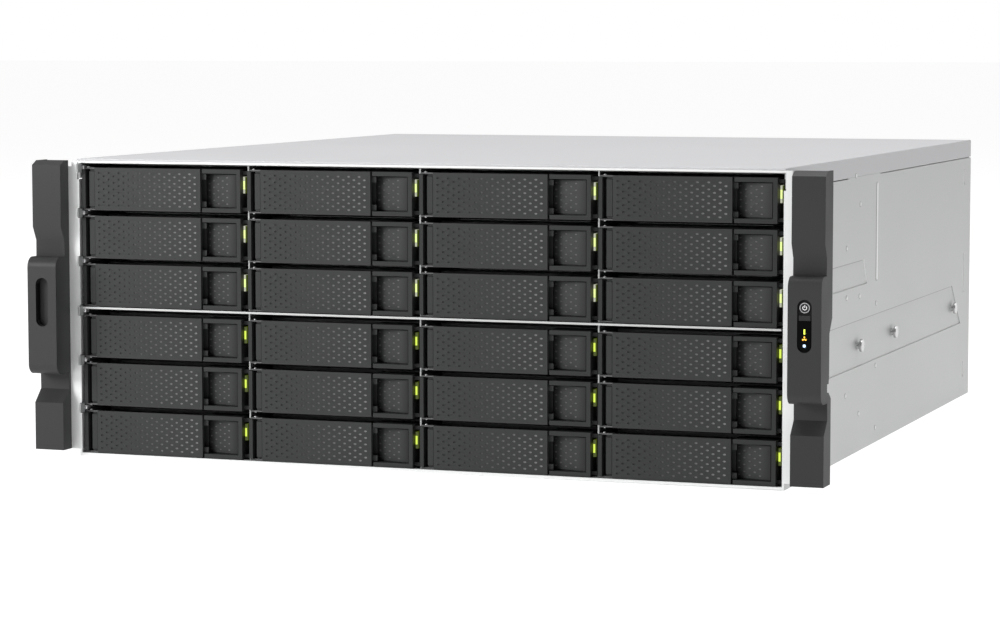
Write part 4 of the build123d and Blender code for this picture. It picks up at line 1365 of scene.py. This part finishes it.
@dataclass
class EarCovers:
    """Moulded covers of the rack flanges, with the button, its sign and the indicators."""

    edge: float = 0.3
    outer_chamfer: float = 2.6
    inner_round: float = 1.1
    middle: float = 230.15
    reach: float = 17.3
    pill_depth: float = 1.0
    window_reach: float = 17.1
    pill_half: float = 4.0
    pill_z: Span = (77.8, 106.5)
    slot_radius: float = 3.7
    slot_floor: float = 12.2
    button_height: float = 102.1
    button_radius: float = 2.85
    sign_radius: float = 1.25
    sign_width: float = 0.32
    bar_height: float = 89.2
    triangle_height: float = 85.4
    triangle: tuple[Point, ...] = ((0, 0.95), (-0.8, -0.45), (0.8, -0.45), (0, -0.2))
    dot_height: float = 81.6
    bridge: Span = (95.1, 97.9)
    bridge_half: float = 3.2

    def build(self) -> None:
        """Dress both covers, the button and the indicators."""
        for side, node in ((-1, "left_ear_cover"), (1, "right_ear_cover")):
            low, high = size_of(node)
            outer, inner = (high.x, low.x) if side > 0 else (low.x, high.x)
            form = CadForm(node, EAR_PLASTIC)
            form.round_edges(lambda one, two: self.on_front_edge(one, two, outer), self.outer_chamfer, 3)
            form.round_edges(lambda one, two: self.on_front_edge(one, two, inner), self.inner_round, 3)
            form.repaint(EAR_SHADE, lambda centre, normal: self.is_pill_rim(centre, normal, side))
            parts = [form.mesh(node, self.edge)]
            if side > 0:
                parts.append(self.controls().mesh("controls", 0.05))
            else:
                parts[0] = carved(parts[0], self.hollow().mesh("slot"))
                parts.append(self.cup())
            piece(f"{node}_shell", settled(joined(node, parts)), "chassis", None, [node])
        self.build_button()

    def is_pill_rim(self, centre: Vector, normal: Vector, side: int) -> bool:
        """Whether a face is the wall or floor of the pill-shaped recess.

        Args:
            centre: Middle of the face.
            normal: Its direction.
            side: Side of the cover, -1 at the left and 1 at the right.

        Returns:
            The answer.
        """
        across = abs(centre.x - side * self.middle) < self.pill_half + 0.2
        up = self.pill_z[0] - 0.2 < centre.z < self.pill_z[1] + 0.2
        depth = GRID.front - self.reach + 0.1 < centre.y < GRID.front - self.reach + 2.3
        return across and up and depth

    def slot(self, radius: float, y: Span, finish: Finish) -> Form:
        """Pill-shaped block at the left ear, between two depths from the front plane.

        Args:
            radius: Radius of its round ends.
            y: The two depths.
            finish: Finish of its faces.

        Returns:
            The form.
        """
        low, high = self.pill_z[0] + self.pill_half, self.pill_z[1] - self.pill_half
        outline = []
        for centre, start in ((high, 0.0), (low, math.pi)):
            for step in range(13):
                turn = start + math.pi * step / 12
                outline.append((-self.middle + radius * math.cos(turn), centre + radius * math.sin(turn)))
        return Form().prism(Axis.Y, outline, (GRID.front + y[0], GRID.front + y[1]), finish)

    def hollow(self) -> Form:
        """Cutter of the left ear's finger slot."""
        return self.slot(self.slot_radius, (-self.reach - 1, -self.slot_floor), EAR_SHADE)

    def cup(self) -> bpy.types.Mesh:
        """Deep liner of the left ear's finger slot.

        Returns:
            The mesh.
        """
        liner = self.slot(self.slot_radius + 0.8, (-self.reach + 1.8, -self.slot_floor + 1.0), EAR_PLASTIC)
        cup = carved(liner.mesh("liner"), self.hollow().mesh("hollow"))
        floor = self.slot(self.slot_radius - 0.02, (-self.slot_floor - 0.3, -self.slot_floor + 0.2), EAR_PLASTIC)
        return joined("cup", (cup, floor.mesh("floor of the slot")))

    def on_front_edge(self, one: Vector, two: Vector, plane: float) -> bool:
        """Whether an edge runs along the cover's stepped face on one of its sides.

        Args:
            one: One end.
            two: The other end.
            plane: Place of the side across the server.

        Returns:
            The answer.
        """
        flush = abs(one.x - plane) < 0.01 and abs(two.x - plane) < 0.01
        face = GRID.front - 1.0
        return flush and one.y < face and two.y < face and abs(one.z - two.z) > 0.5

    def controls(self) -> Form:
        """Bridge over the window and the three indicators.

        Returns:
            The form.
        """
        form = Form()
        middle = self.middle
        face = GRID.front - self.reach + self.pill_depth
        wide = self.bridge_half
        form.box((middle - wide, middle + wide), (face - 0.45, face + 0.1), self.bridge, BUTTON_PLASTIC)
        front = GRID.front - self.window_reach
        glass = (front - 0.06, front + 0.1)
        form.box((middle - 0.45, middle + 0.45), glass, (self.bar_height - 1.4, self.bar_height + 1.4), SIGN_LIME)
        for x, z in self.triangle:
            spot = (middle + x, self.triangle_height + z)
            form.lathe(Axis.Y, spot, ((0.48, glass[0]), (0.48, glass[1])), SIGN_AMBER, 10)
        form.lathe(Axis.Y, (middle, self.dot_height), ((0.85, glass[0]), (0.85, glass[1])), SIGN_BLUE, 14)
        return form

    def build_button(self) -> None:
        """Round button with its dished face, rim and power sign."""
        body = CadForm("power_button", BUTTON_PLASTIC)
        face = size_of("power_button")[0].y
        sign = Form()
        spot = (self.middle, self.button_height)
        rim = self.button_radius
        ring = ((rim - 0.05, face), (rim - 0.05, face - 0.12), (rim - 0.45, face - 0.12), (rim - 0.45, face))
        sign.lathe(Axis.Y, spot, ring, SCREW_STEEL, 32, closed=True)
        self.add_power_sign(sign, spot, (face - 0.1, face + 0.05))
        mesh = settled(joined("button", (body.mesh("button", 0.25), sign.mesh("sign"))))
        piece("button_cap", mesh, "power_button", None, ["power_button"])

    def add_power_sign(self, form: Form, centre: Point, y: Span) -> None:
        """Add the open ring and the bar of the power sign.

        Args:
            form: Form that takes it.
            centre: Middle of the sign.
            y: Depths of its front and back.
        """
        x, z = centre
        outer, inner = self.sign_radius, self.sign_radius - self.sign_width
        turns = [math.radians(90 + 38 + step * 284 / 20) for step in range(21)]
        arc = [(x + outer * math.cos(turn), z + outer * math.sin(turn)) for turn in turns]
        back = [(x + inner * math.cos(turn), z + inner * math.sin(turn)) for turn in reversed(turns)]
        form.prism(Axis.Y, arc + back, y, SIGN_WHITE)
        form.box((x - 0.16, x + 0.16), y, (z + 0.1, z + outer + 0.35), SIGN_WHITE)


@dataclass
class Supplies:
    """Power supplies with their inlets, fan grilles, handles and latch tabs."""

    width: float = 73.5
    skin: float = 0.6
    inlet_gap: float = 4.0
    inlet_width: float = 27.0
    inlet_height: float = 20.0
    inlet_depth: float = 17.0
    rim: float = 0.9
    pin_half: float = 0.75
    pin_z: Span = (8.0, 12.0)
    grille_radius: float = 16.0
    grille_height: float = 20.0
    ring_radius: float = 0.55
    rings: int = 5
    hub_radius: float = 7.0
    tab_x: Span = (1.5, 5.5)
    tab_z: Span = (2.0, 12.0)

    def build(self) -> None:
        """Dress both supplies."""
        for number in (1, 2):
            node = f"power_supply_{number}"
            low, high = size_of(node)
            back = GRID.rear + self.skin
            form = CadForm(node, SUPPLY_STEEL, pierced=True)
            form.repaint(DARK_PLASTIC, lambda centre, normal: self.in_inlet(centre, low, back))
            form.repaint(DARK_PLASTIC, lambda centre, normal: centre.y > back + 0.5)
            parts = (form.mesh(node, 0.3), self.trim(low, back).mesh("trim"))
            piece(f"{node}_case", settled(joined(node, parts)), node, None, [node])

    def in_inlet(self, centre: Vector, low: Vector, back: float) -> bool:
        """Whether a face lines the inlet.

        Args:
            centre: Middle of the face.
            low: Lowest corner of the supply.
            back: Depth of its rear face.

        Returns:
            The answer.
        """
        start = low.x + self.inlet_gap
        floor = low.z + self.inlet_gap
        across = start - 0.1 < centre.x < start + self.inlet_width + 0.1
        up = floor - 0.1 < centre.z < floor + self.inlet_height + 0.1
        return across and up and back - self.inlet_depth < centre.y < back - 0.05

    def trim(self, low: Vector, back: float) -> Form:
        """Inlet pins and rim, ring grille, fan hub, lamp and latch tab of a supply.

        Args:
            low: Lowest corner of the supply.
            back: Depth of its rear face.

        Returns:
            The form.
        """
        form = Form()
        self.add_inlet(form, low, back)
        self.add_grille(form, low, back)
        end, top = low.x + self.inlet_gap + self.inlet_width, low.z + self.inlet_gap + self.inlet_height
        lamp = ((0, back - 0.2), (1.1, back - 0.2), (1.1, back + 0.4), (0, back + 0.6))
        form.lathe(Axis.Y, (end + 3.5, top + 7), lamp, SIGN_LIME, 12)
        tab_x = (end + self.tab_x[0], end + self.tab_x[1])
        tab_z = (low.z + self.tab_z[0], low.z + self.tab_z[1])
        form.box(tab_x, (back - 0.2, back + 6.0), tab_z, SOCKET_PLASTIC)
        return form

    def add_inlet(self, form: Form, low: Vector, back: float) -> None:
        """Add the inlet's raised rim and its three pins.

        Args:
            form: Form that takes them.
            low: Lowest corner of the supply.
            back: Depth of its rear face.
        """
        start, floor = low.x + self.inlet_gap, low.z + self.inlet_gap
        end, top = start + self.inlet_width, floor + self.inlet_height
        rim, face = self.rim, (back - 0.3, back + 0.3)
        for x in ((start - rim, start), (end, end + rim)):
            form.box(x, face, (floor, top), DARK_PLASTIC)
        for z in ((floor - rim, floor), (top, top + rim)):
            form.box((start - rim, end + rim), face, z, DARK_PLASTIC)
        pin_z = (floor + self.pin_z[0], floor + self.pin_z[1])
        for shift in (-1, 0, 1):
            x = (start + end) / 2 + shift * self.inlet_width / 4
            form.box((x - self.pin_half, x + self.pin_half), (back - 15.5, back - 5.2), pin_z, BRIGHT_STEEL)

    def add_grille(self, form: Form, low: Vector, back: float) -> None:
        """Add the wire rings in front of the fan, and its hub.

        Args:
            form: Form that takes them.
            low: Lowest corner of the supply.
            back: Depth of its rear face.
        """
        centre = (low.x + self.width - self.grille_radius - self.inlet_gap, low.z + self.grille_height)
        wire, seat = self.ring_radius, back - 0.6
        turns = [math.tau * step / 8 for step in range(8)]
        for ring in range(1, self.rings + 1):
            radius = ring * self.grille_radius / self.rings - 0.5
            tube = [(radius + wire * math.cos(turn), seat + wire * math.sin(turn)) for turn in turns]
            form.lathe(Axis.Y, centre, tube, BRIGHT_STEEL, 36, closed=True)
        hub = ((self.hub_radius, back - 1.95), (self.hub_radius, back - 1.5), (0, back - 1.5))
        form.lathe(Axis.Y, centre, hub, FAN_PLASTIC, 24)


@dataclass
class Ports:
    """Mainboard with its parts, and the rear ports with their contacts and shield."""

    top: float = 8.6
    skin: float = 0.6
    fan_gap: float = 16.0
    chips: tuple[tuple[float, float, float, float], ...] = (
        (60.0, 60.0, 24.0, 24.0), (120.0, 40.0, 30.0, 30.0), (150.0, 100.0, 12.0, 12.0),
        (30.0, 190.0, 14.0, 14.0), (75.0, 195.0, 10.0, 10.0), (186.0, 60.0, 16.0, 10.0),
    )
    chip_rise: float = 1.6
    coils: int = 8
    coil_pitch: float = 9.5
    coil_x: Span = (-46.0, -38.0)
    coil_can: tuple[Point, ...] = ((2.6, 0.0), (2.6, 8.0), (2.3, 8.3), (0.0, 8.3))
    cans: int = 12
    can_row: int = 6
    can_pitch: Point = (12.0, 9.0)
    can: tuple[Point, ...] = ((3.1, 0.0), (3.1, 10.5), (2.8, 11.0), (0.0, 11.0))
    sticks: int = 4
    stick_first: float = 52.0
    stick_pitch: float = 9.5
    stick_chips: int = 8
    plugs: tuple[int, int] = (2, 6)
    port_first: float = -34.0
    port_gap: float = 4.0
    jacks: tuple[tuple[float, float, int], ...] = ((16.0, 13.5, 8), (16.0, 13.5, 8), (14.8, 10.4, 0), (14.8, 10.4, 0))
    wide_ports: int = 2
    wide_pitch: float = 18.2

    def build(self) -> None:
        """Dress the mainboard."""
        form = CadForm("mainboard", BOARD, pierced=True)
        self.paint_parts(form)
        parts = (
            form.mesh("mainboard", 0.15),
            self.board_parts().mesh("parts", 0.1),
            self.contacts().mesh("contacts"),
        )
        piece("mainboard_set", settled(joined("mainboard", parts)), "chassis", None, ["mainboard"])

    def paint_parts(self, form: CadForm) -> None:
        """Give every solid of the mainboard its own finish.

        Args:
            form: The mainboard's form.
        """
        marks = [(group, self.finish_of(*limits(group))) for group in form.solids()]
        for group, finish in marks:
            slot = form.index(finish)
            for vert in group:
                for face in vert.link_faces:
                    face.material_index = slot

    def finish_of(self, low: Vector, high: Vector) -> Finish:
        """The finish of a solid of the mainboard, told by its box.

        Args:
            low: Lowest corner of the solid.
            high: Highest corner.

        Returns:
            The finish.
        """
        if high.z < self.top - 0.5:
            return GOLD
        if low.z < self.top - 0.5:
            return BOARD
        if high.z > self.top + 50:
            return ALUMINIUM
        if high.y > GRID.rear:
            return BRIGHT_STEEL
        return SOCKET_PLASTIC if high.z < self.top + 15 else BOARD

    def board_parts(self) -> Form:
        """Chips, coils, capacitors and sockets that stand on the board.

        Returns:
            The form.
        """
        form = Form()
        near, top = size_of("fan_wall")[1].y + self.fan_gap, self.top
        for x, along, wide, deep in self.chips:
            form.box((x, x + wide), (near + along, near + along + deep), (top, top + self.chip_rise), CHIP)
        for step in range(self.coils):
            y = near + 24 + step * self.coil_pitch
            form.box(self.coil_x, (y, y + 7.5), (top, top + 6), CHIP)
            self.add_can(form, (-33.0, y + 3.7), self.coil_can)
        for step in range(self.cans):
            row, place = divmod(step, self.can_row)
            self.add_can(form, (110.0 + place * self.can_pitch[0], near + 6 + row * self.can_pitch[1]), self.can)
        self.add_sockets(form, near)
        return form

    def add_can(self, form: Form, spot: Point, profile: Sequence[Point]) -> None:
        """Add a capacitor with the given radii and heights above the board."""
        form.lathe(Axis.Z, spot, [(radius, self.top + rise) for radius, rise in profile], ALUMINIUM, 14)

    def add_sockets(self, form: Form, near: float) -> None:
        """Add the memory's sockets and chips, and the plugs behind the fans.

        Args:
            form: Form that takes them.
            near: Depth of the board's front edge.
        """
        top = self.top
        for stick in range(self.sticks):
            x = self.stick_first + (stick + 1) * self.stick_pitch
            form.box((x - 2.6, x + 3.8), (near + 20, near + 157), (top, top + 5.5), SOCKET_PLASTIC)
            for chip in range(self.stick_chips):
                y = near + 28 + chip * 15.5
                form.box((x - 1.1, x + 2.3), (y, y + 10), (top + 14, top + 25), CHIP)
        rows, plugs = self.plugs
        for row in range(rows):
            for plug in range(plugs):
                x = 120.0 + plug * 14
                form.box((x, x + 10), (near + 26 + row * 14, near + 33 + row * 14), (top, top + 9), DARK_PLASTIC)

    def contacts(self) -> Form:
        """Contact springs and lamps of the network ports, and the inserts and tongues of the other ports.

        Returns:
            The form.
        """
        form = Form()
        back, top = GRID.rear + self.skin, self.top
        left = self.port_first
        for width, height, springs in self.jacks:
            if springs:
                self.add_springs(form, left, width, top + height - 0.9, springs)
            else:
                across = (left + 1.2, left + width - 1.2)
                form.box(across, (back - 16.8, back - 15.6), (top + 1.2, top + 6), DARK_PLASTIC)
            left += width + self.port_gap
        for port in range(self.wide_ports):
            tongue = (left + port * self.wide_pitch + 2, left + port * self.wide_pitch + 12.2)
            form.box(tongue, (back - 16.5, back - 2), (top + 3.9, top + 4.3), PALE_PLASTIC)
        return form

    def add_springs(self, form: Form, left: float, width: float, z: float, springs: int) -> None:
        """Add the contact springs and the two lamps of a network port.

        Args:
            form: Form that takes them.
            left: Left side of the port.
            width: Width of the port.
            z: Height of the springs' fixed ends.
            springs: Number of springs.
        """
        back = GRID.rear + self.skin
        bent = ((back - 14, z), (back - 4, z), (back - 11, z - 4), (back - 11.4, z - 3.8), (back - 5.4, z - 0.35))
        for step in range(springs):
            spot = left + 3.6 + step * (width - 7.2) / (springs - 1)
            form.prism(Axis.X, bent, (spot - 0.25, spot + 0.25), GOLD)
        for side in (2.2, width - 2.2):
            lamp = (left + side - 1.2, left + side + 1.2)
            form.box(lamp, (back - 1.2, back + 0.05), (z - 1.5, z), LENS_DEEP)


@dataclass
class Interior:
    """Backplane and fans, which show when the lid is lifted or a tray is out."""

    fans: tuple[float, ...] = (-136.0, 0.0, 136.0)
    fan_height: float = 80.0
    hub: float = 21.0
    hub_depth: float = 26.0
    tip: float = 55.5
    blades: int = 7
    blade_rows: int = 6
    blade_cuts: int = 5
    blade_half: float = 0.6
    screw_reach: float = 52.0
    power_sockets: tuple[float, ...] = (-150.0, -50.0, 50.0, 150.0)
    power_z: Span = (166.0, 171.5)

    def build(self) -> None:
        """Dress the backplane and the fan wall."""
        board = CadForm("backplane", BOARD, pierced=True)
        board.repaint(DARK_PLASTIC, lambda centre, normal: centre.y < size_of("backplane")[1].y - 1.9)
        trim = self.backplane_trim().mesh("trim", 0.1)
        plane = joined("backplane", (board.mesh("backplane", 0.1), trim))
        piece("backplane_board", settled(plane), "chassis", None, ["backplane"])
        low, high = size_of("fan_wall")
        wall = CadForm("fan_wall", FAN_PLASTIC, pierced=True)
        wall.keep(lambda one, two: two.y > high.y - 1 or two.y < low.y + 2)
        # The fan wall's front plate takes the darkened cage steel: painted shade.
        wall.repaint(SHADED_CAGE_STEEL, lambda centre, normal: centre.y < low.y + 1.3)
        parts = [wall.mesh("fan wall", 0.2)]
        parts += [self.rotor(x, high.y - 3.2).mesh("rotor", 0.15) for x in self.fans]
        parts.append(self.fan_trim(high.y).mesh("fan trim"))
        piece("fan_set", settled(joined("fans", parts)), "chassis", None, ["fan_wall"])

    def backplane_trim(self) -> Form:
        """Chips and power sockets on the rear of the backplane.

        Returns:
            The form.
        """
        form = Form()
        back = size_of("backplane")[1].y
        for row, column in GRID.bays():
            x, z = GRID.centre(column), GRID.bottom(row) + 6
            form.box((x - 20, x + 13), (back, back + 2.2), (z - 2, z + 2), DARK_PLASTIC)
            form.box((x + 20, x + 28), (back, back + 1.2), (z - 4, z + 4), CHIP)
        for x in self.power_sockets:
            form.box((x - 9, x + 9), (back, back + 9), self.power_z, PALE_PLASTIC)
        return form

    def rotor(self, x: float, back: float) -> Form:
        """Rotor with twisted, curved blades.

        Args:
            x: Middle of the fan.
            back: Depth of the hub's back.

        Returns:
            The form.
        """
        form = Form()
        front = back - self.hub_depth
        hub = ((0, back), (self.hub, back), (self.hub, front + 1.5), (self.hub - 1.5, front), (0, front))
        form.lathe(Axis.Y, (x, self.fan_height), hub, FAN_PLASTIC, 40)
        for blade in range(self.blades):
            self.add_blade(form, x, (front + back) / 2, math.tau * blade / self.blades)
        return form

    def blade(self, middle: float, turn: float) -> list[list[Place]]:
        """Rows of points across a blade, from its root to its tip.

        Args:
            middle: Depth of the blade's middle.
            turn: Angle of its root.

        Returns:
            Radius, angle and depth of each point, row by row.
        """
        rows = []
        for step in range(self.blade_rows):
            share = step / (self.blade_rows - 1)
            radius = self.hub - 1.0 + share * (self.tip - self.hub + 1.0)
            pitch = math.radians(50 - 24 * share)
            chord = 19 + 6 * share
            row = []
            for cut in range(self.blade_cuts):
                across = cut / (self.blade_cuts - 1)
                along = (across - 0.5) * chord
                camber = 1.8 * (1 - (2 * across - 1) ** 2)
                angle = turn + (along * math.cos(pitch) + camber * math.sin(pitch)) / radius + 0.25 * share
                row.append((radius, angle, middle - along * math.sin(pitch) + camber * math.cos(pitch)))
            rows.append(row)
        return rows

    def add_blade(self, form: Form, x: float, middle: float, turn: float) -> None:
        """Add one blade, as a lofted sheet with two sides.

        Args:
            form: Form that takes it.
            x: Middle of the fan.
            middle: Depth of the blade's middle.
            turn: Angle of its root.
        """
        rows = self.blade(middle, turn)
        sheets = []
        for shift in (-self.blade_half, self.blade_half):
            sheets.append([
                [
                    form.bm.verts.new((x + r * math.cos(a), d + shift, self.fan_height + r * math.sin(a)))
                    for r, a, d in row
                ]
                for row in rows
            ])
        faces = []
        last_row, last_cut = len(rows) - 1, len(rows[0]) - 1
        for sheet in sheets:
            for one, two in zip(sheet, sheet[1:]):
                for cut in range(last_cut):
                    faces.append(form.bm.faces.new((one[cut], one[cut + 1], two[cut + 1], two[cut])))
        rim = [(0, cut) for cut in range(last_cut)] + [(row, last_cut) for row in range(last_row)]
        rim += [(last_row, cut) for cut in range(last_cut, 0, -1)] + [(row, 0) for row in range(last_row, 0, -1)]
        near, far = sheets
        for (row, cut), (other, place) in zip(rim, rim[1:] + rim[:1]):
            corners = (near[row][cut], near[other][place], far[other][place], far[row][cut])
            faces.append(form.bm.faces.new(corners))
        form.paint(faces, FAN_PLASTIC)

    def fan_trim(self, far: float) -> Form:
        """Screws and lead plugs of the fans.

        Args:
            far: Depth of the fans' rear.

        Returns:
            The form.
        """
        form = Form()
        reach = self.screw_reach
        plug_z = (self.fan_height + 60, self.fan_height + 64)
        for x in self.fans:
            for across in (-reach, reach):
                for up in (-reach, reach):
                    form.screw(Axis.Y, (x + across, self.fan_height + up), far - 0.3, 2.4, 0.28)
            form.box((x + 40, x + 54), (far - 12, far - 4), plug_z, PALE_PLASTIC)
        return form


@dataclass
class Studio:
    """Pale floor, soft light and the camera of the photograph."""

    camera_place: Place = (642.2, -1892.5, 246.2)
    camera_turn: float = 19.98782
    camera_dip: float = 5.05478
    camera_roll: float = -0.04321
    lens: float = 111.42
    sensor: float = 36.0
    floor_size: float = 60.0
    floor_glow: float = 0.92
    floor_tone: float = 0.25
    floor_drop: float = 0.0002
    world: float = 0.17
    aim: Place = (0.0, 0.0, 0.08)
    lights: tuple[tuple[str, Place, Span, float], ...] = (
        ("front light", (-1.2, -2.2, 1.3), (1.8, 1.2), 13.0),
        ("left light", (-0.9, -1.05, 0.5), (0.5, 0.4), 8.5),
        ("top light", (0.2, 0.3, 2.4), (2.4, 2.4), 63.0),
    )

    def build(self) -> None:
        """Make the camera, the floor and the lights."""
        self.make_camera()
        self.make_floor()
        self.make_world()
        for light in self.lights:
            self.area_light(*light)

    def make_camera(self) -> None:
        """Camera at the photograph's place."""
        camera = bpy.data.objects.new("camera", bpy.data.cameras.new("camera"))
        bpy.context.scene.collection.objects.link(camera)
        camera.data.lens = self.lens
        camera.data.sensor_width = self.sensor
        camera.data.clip_end = 200
        turn = Matrix.Rotation(math.radians(self.camera_turn), 4, "Z")
        dip = Matrix.Rotation(math.radians(90 - self.camera_dip), 4, "X")
        roll = Matrix.Rotation(math.radians(self.camera_roll), 4, "Z")
        camera.matrix_world = Matrix.Translation(Vector(self.camera_place) * MM) @ turn @ dip @ roll
        bpy.context.scene.camera = camera

    def make_floor(self) -> None:
        """Large pale floor that glows a little, so that its far end stays white."""
        half = self.floor_size / 2
        mesh = bpy.data.meshes.new("floor")
        mesh.from_pydata([(-half, -half, 0), (half, -half, 0), (half, half, 0), (-half, half, 0)], [], [(0, 1, 2, 3)])
        tree = Tree("floor")
        cloud = tree.noise(0.002, 2.0)
        tree.set(
            Base_Color=tree.mix(cloud, rgba(self.floor_tone), rgba(self.floor_tone * 0.96)),
            Roughness=0.8,
            Emission_Color=(1, 1, 1, 1),
            Emission_Strength=self.floor_glow,
            Specular_IOR_Level=0.1,
        )
        mesh.materials.append(tree.material)
        floor = bpy.data.objects.new("floor", mesh)
        floor.location.z = -self.floor_drop
        bpy.context.scene.collection.objects.link(floor)

    def make_world(self) -> None:
        """White surroundings, which light the server more softly than they show."""
        world = bpy.data.worlds.new("studio")
        world.use_nodes = True
        nodes, links = world.node_tree.nodes, world.node_tree.links
        lighting, shown = nodes["Background"], nodes.new("ShaderNodeBackground")
        blend = nodes.new("ShaderNodeMixShader")
        for background, strength in ((lighting, self.world), (shown, 1.0)):
            background.inputs["Color"].default_value = (1, 1, 1, 1)
            background.inputs["Strength"].default_value = strength
        links.new(nodes.new("ShaderNodeLightPath").outputs["Is Camera Ray"], blend.inputs[0])
        links.new(lighting.outputs[0], blend.inputs[1])
        links.new(shown.outputs[0], blend.inputs[2])
        links.new(blend.outputs[0], nodes["World Output"].inputs["Surface"])
        bpy.context.scene.world = world

    def area_light(self, name: str, place: Place, size: Span, power: float) -> None:
        """Soft rectangular light that faces the server.

        Args:
            name: Name of the light.
            place: Its place in metres.
            size: Width and height in metres.
            power: Power in watts.
        """
        data = bpy.data.lights.new(name, "AREA")
        data.shape = "RECTANGLE"
        data.size, data.size_y = size
        data.energy = power
        light = bpy.data.objects.new(name, data)
        light.location = place
        aim = Vector(self.aim) - Vector(place)
        light.rotation_euler = aim.to_track_quat("-Z", "Y").to_euler()
        bpy.context.scene.collection.objects.link(light)


def main() -> None:
    """Build every class in order."""
    logging.basicConfig(level=logging.INFO, format="%(message)s")
    bpy.context.scene.view_settings.view_transform = "Standard"
    for builder in (Studio(), Shell(), Bays(), LightPipes(), EarCovers(), Supplies(), Ports(), Interior()):
        builder.build()


if __name__ == "__main__":
    main()
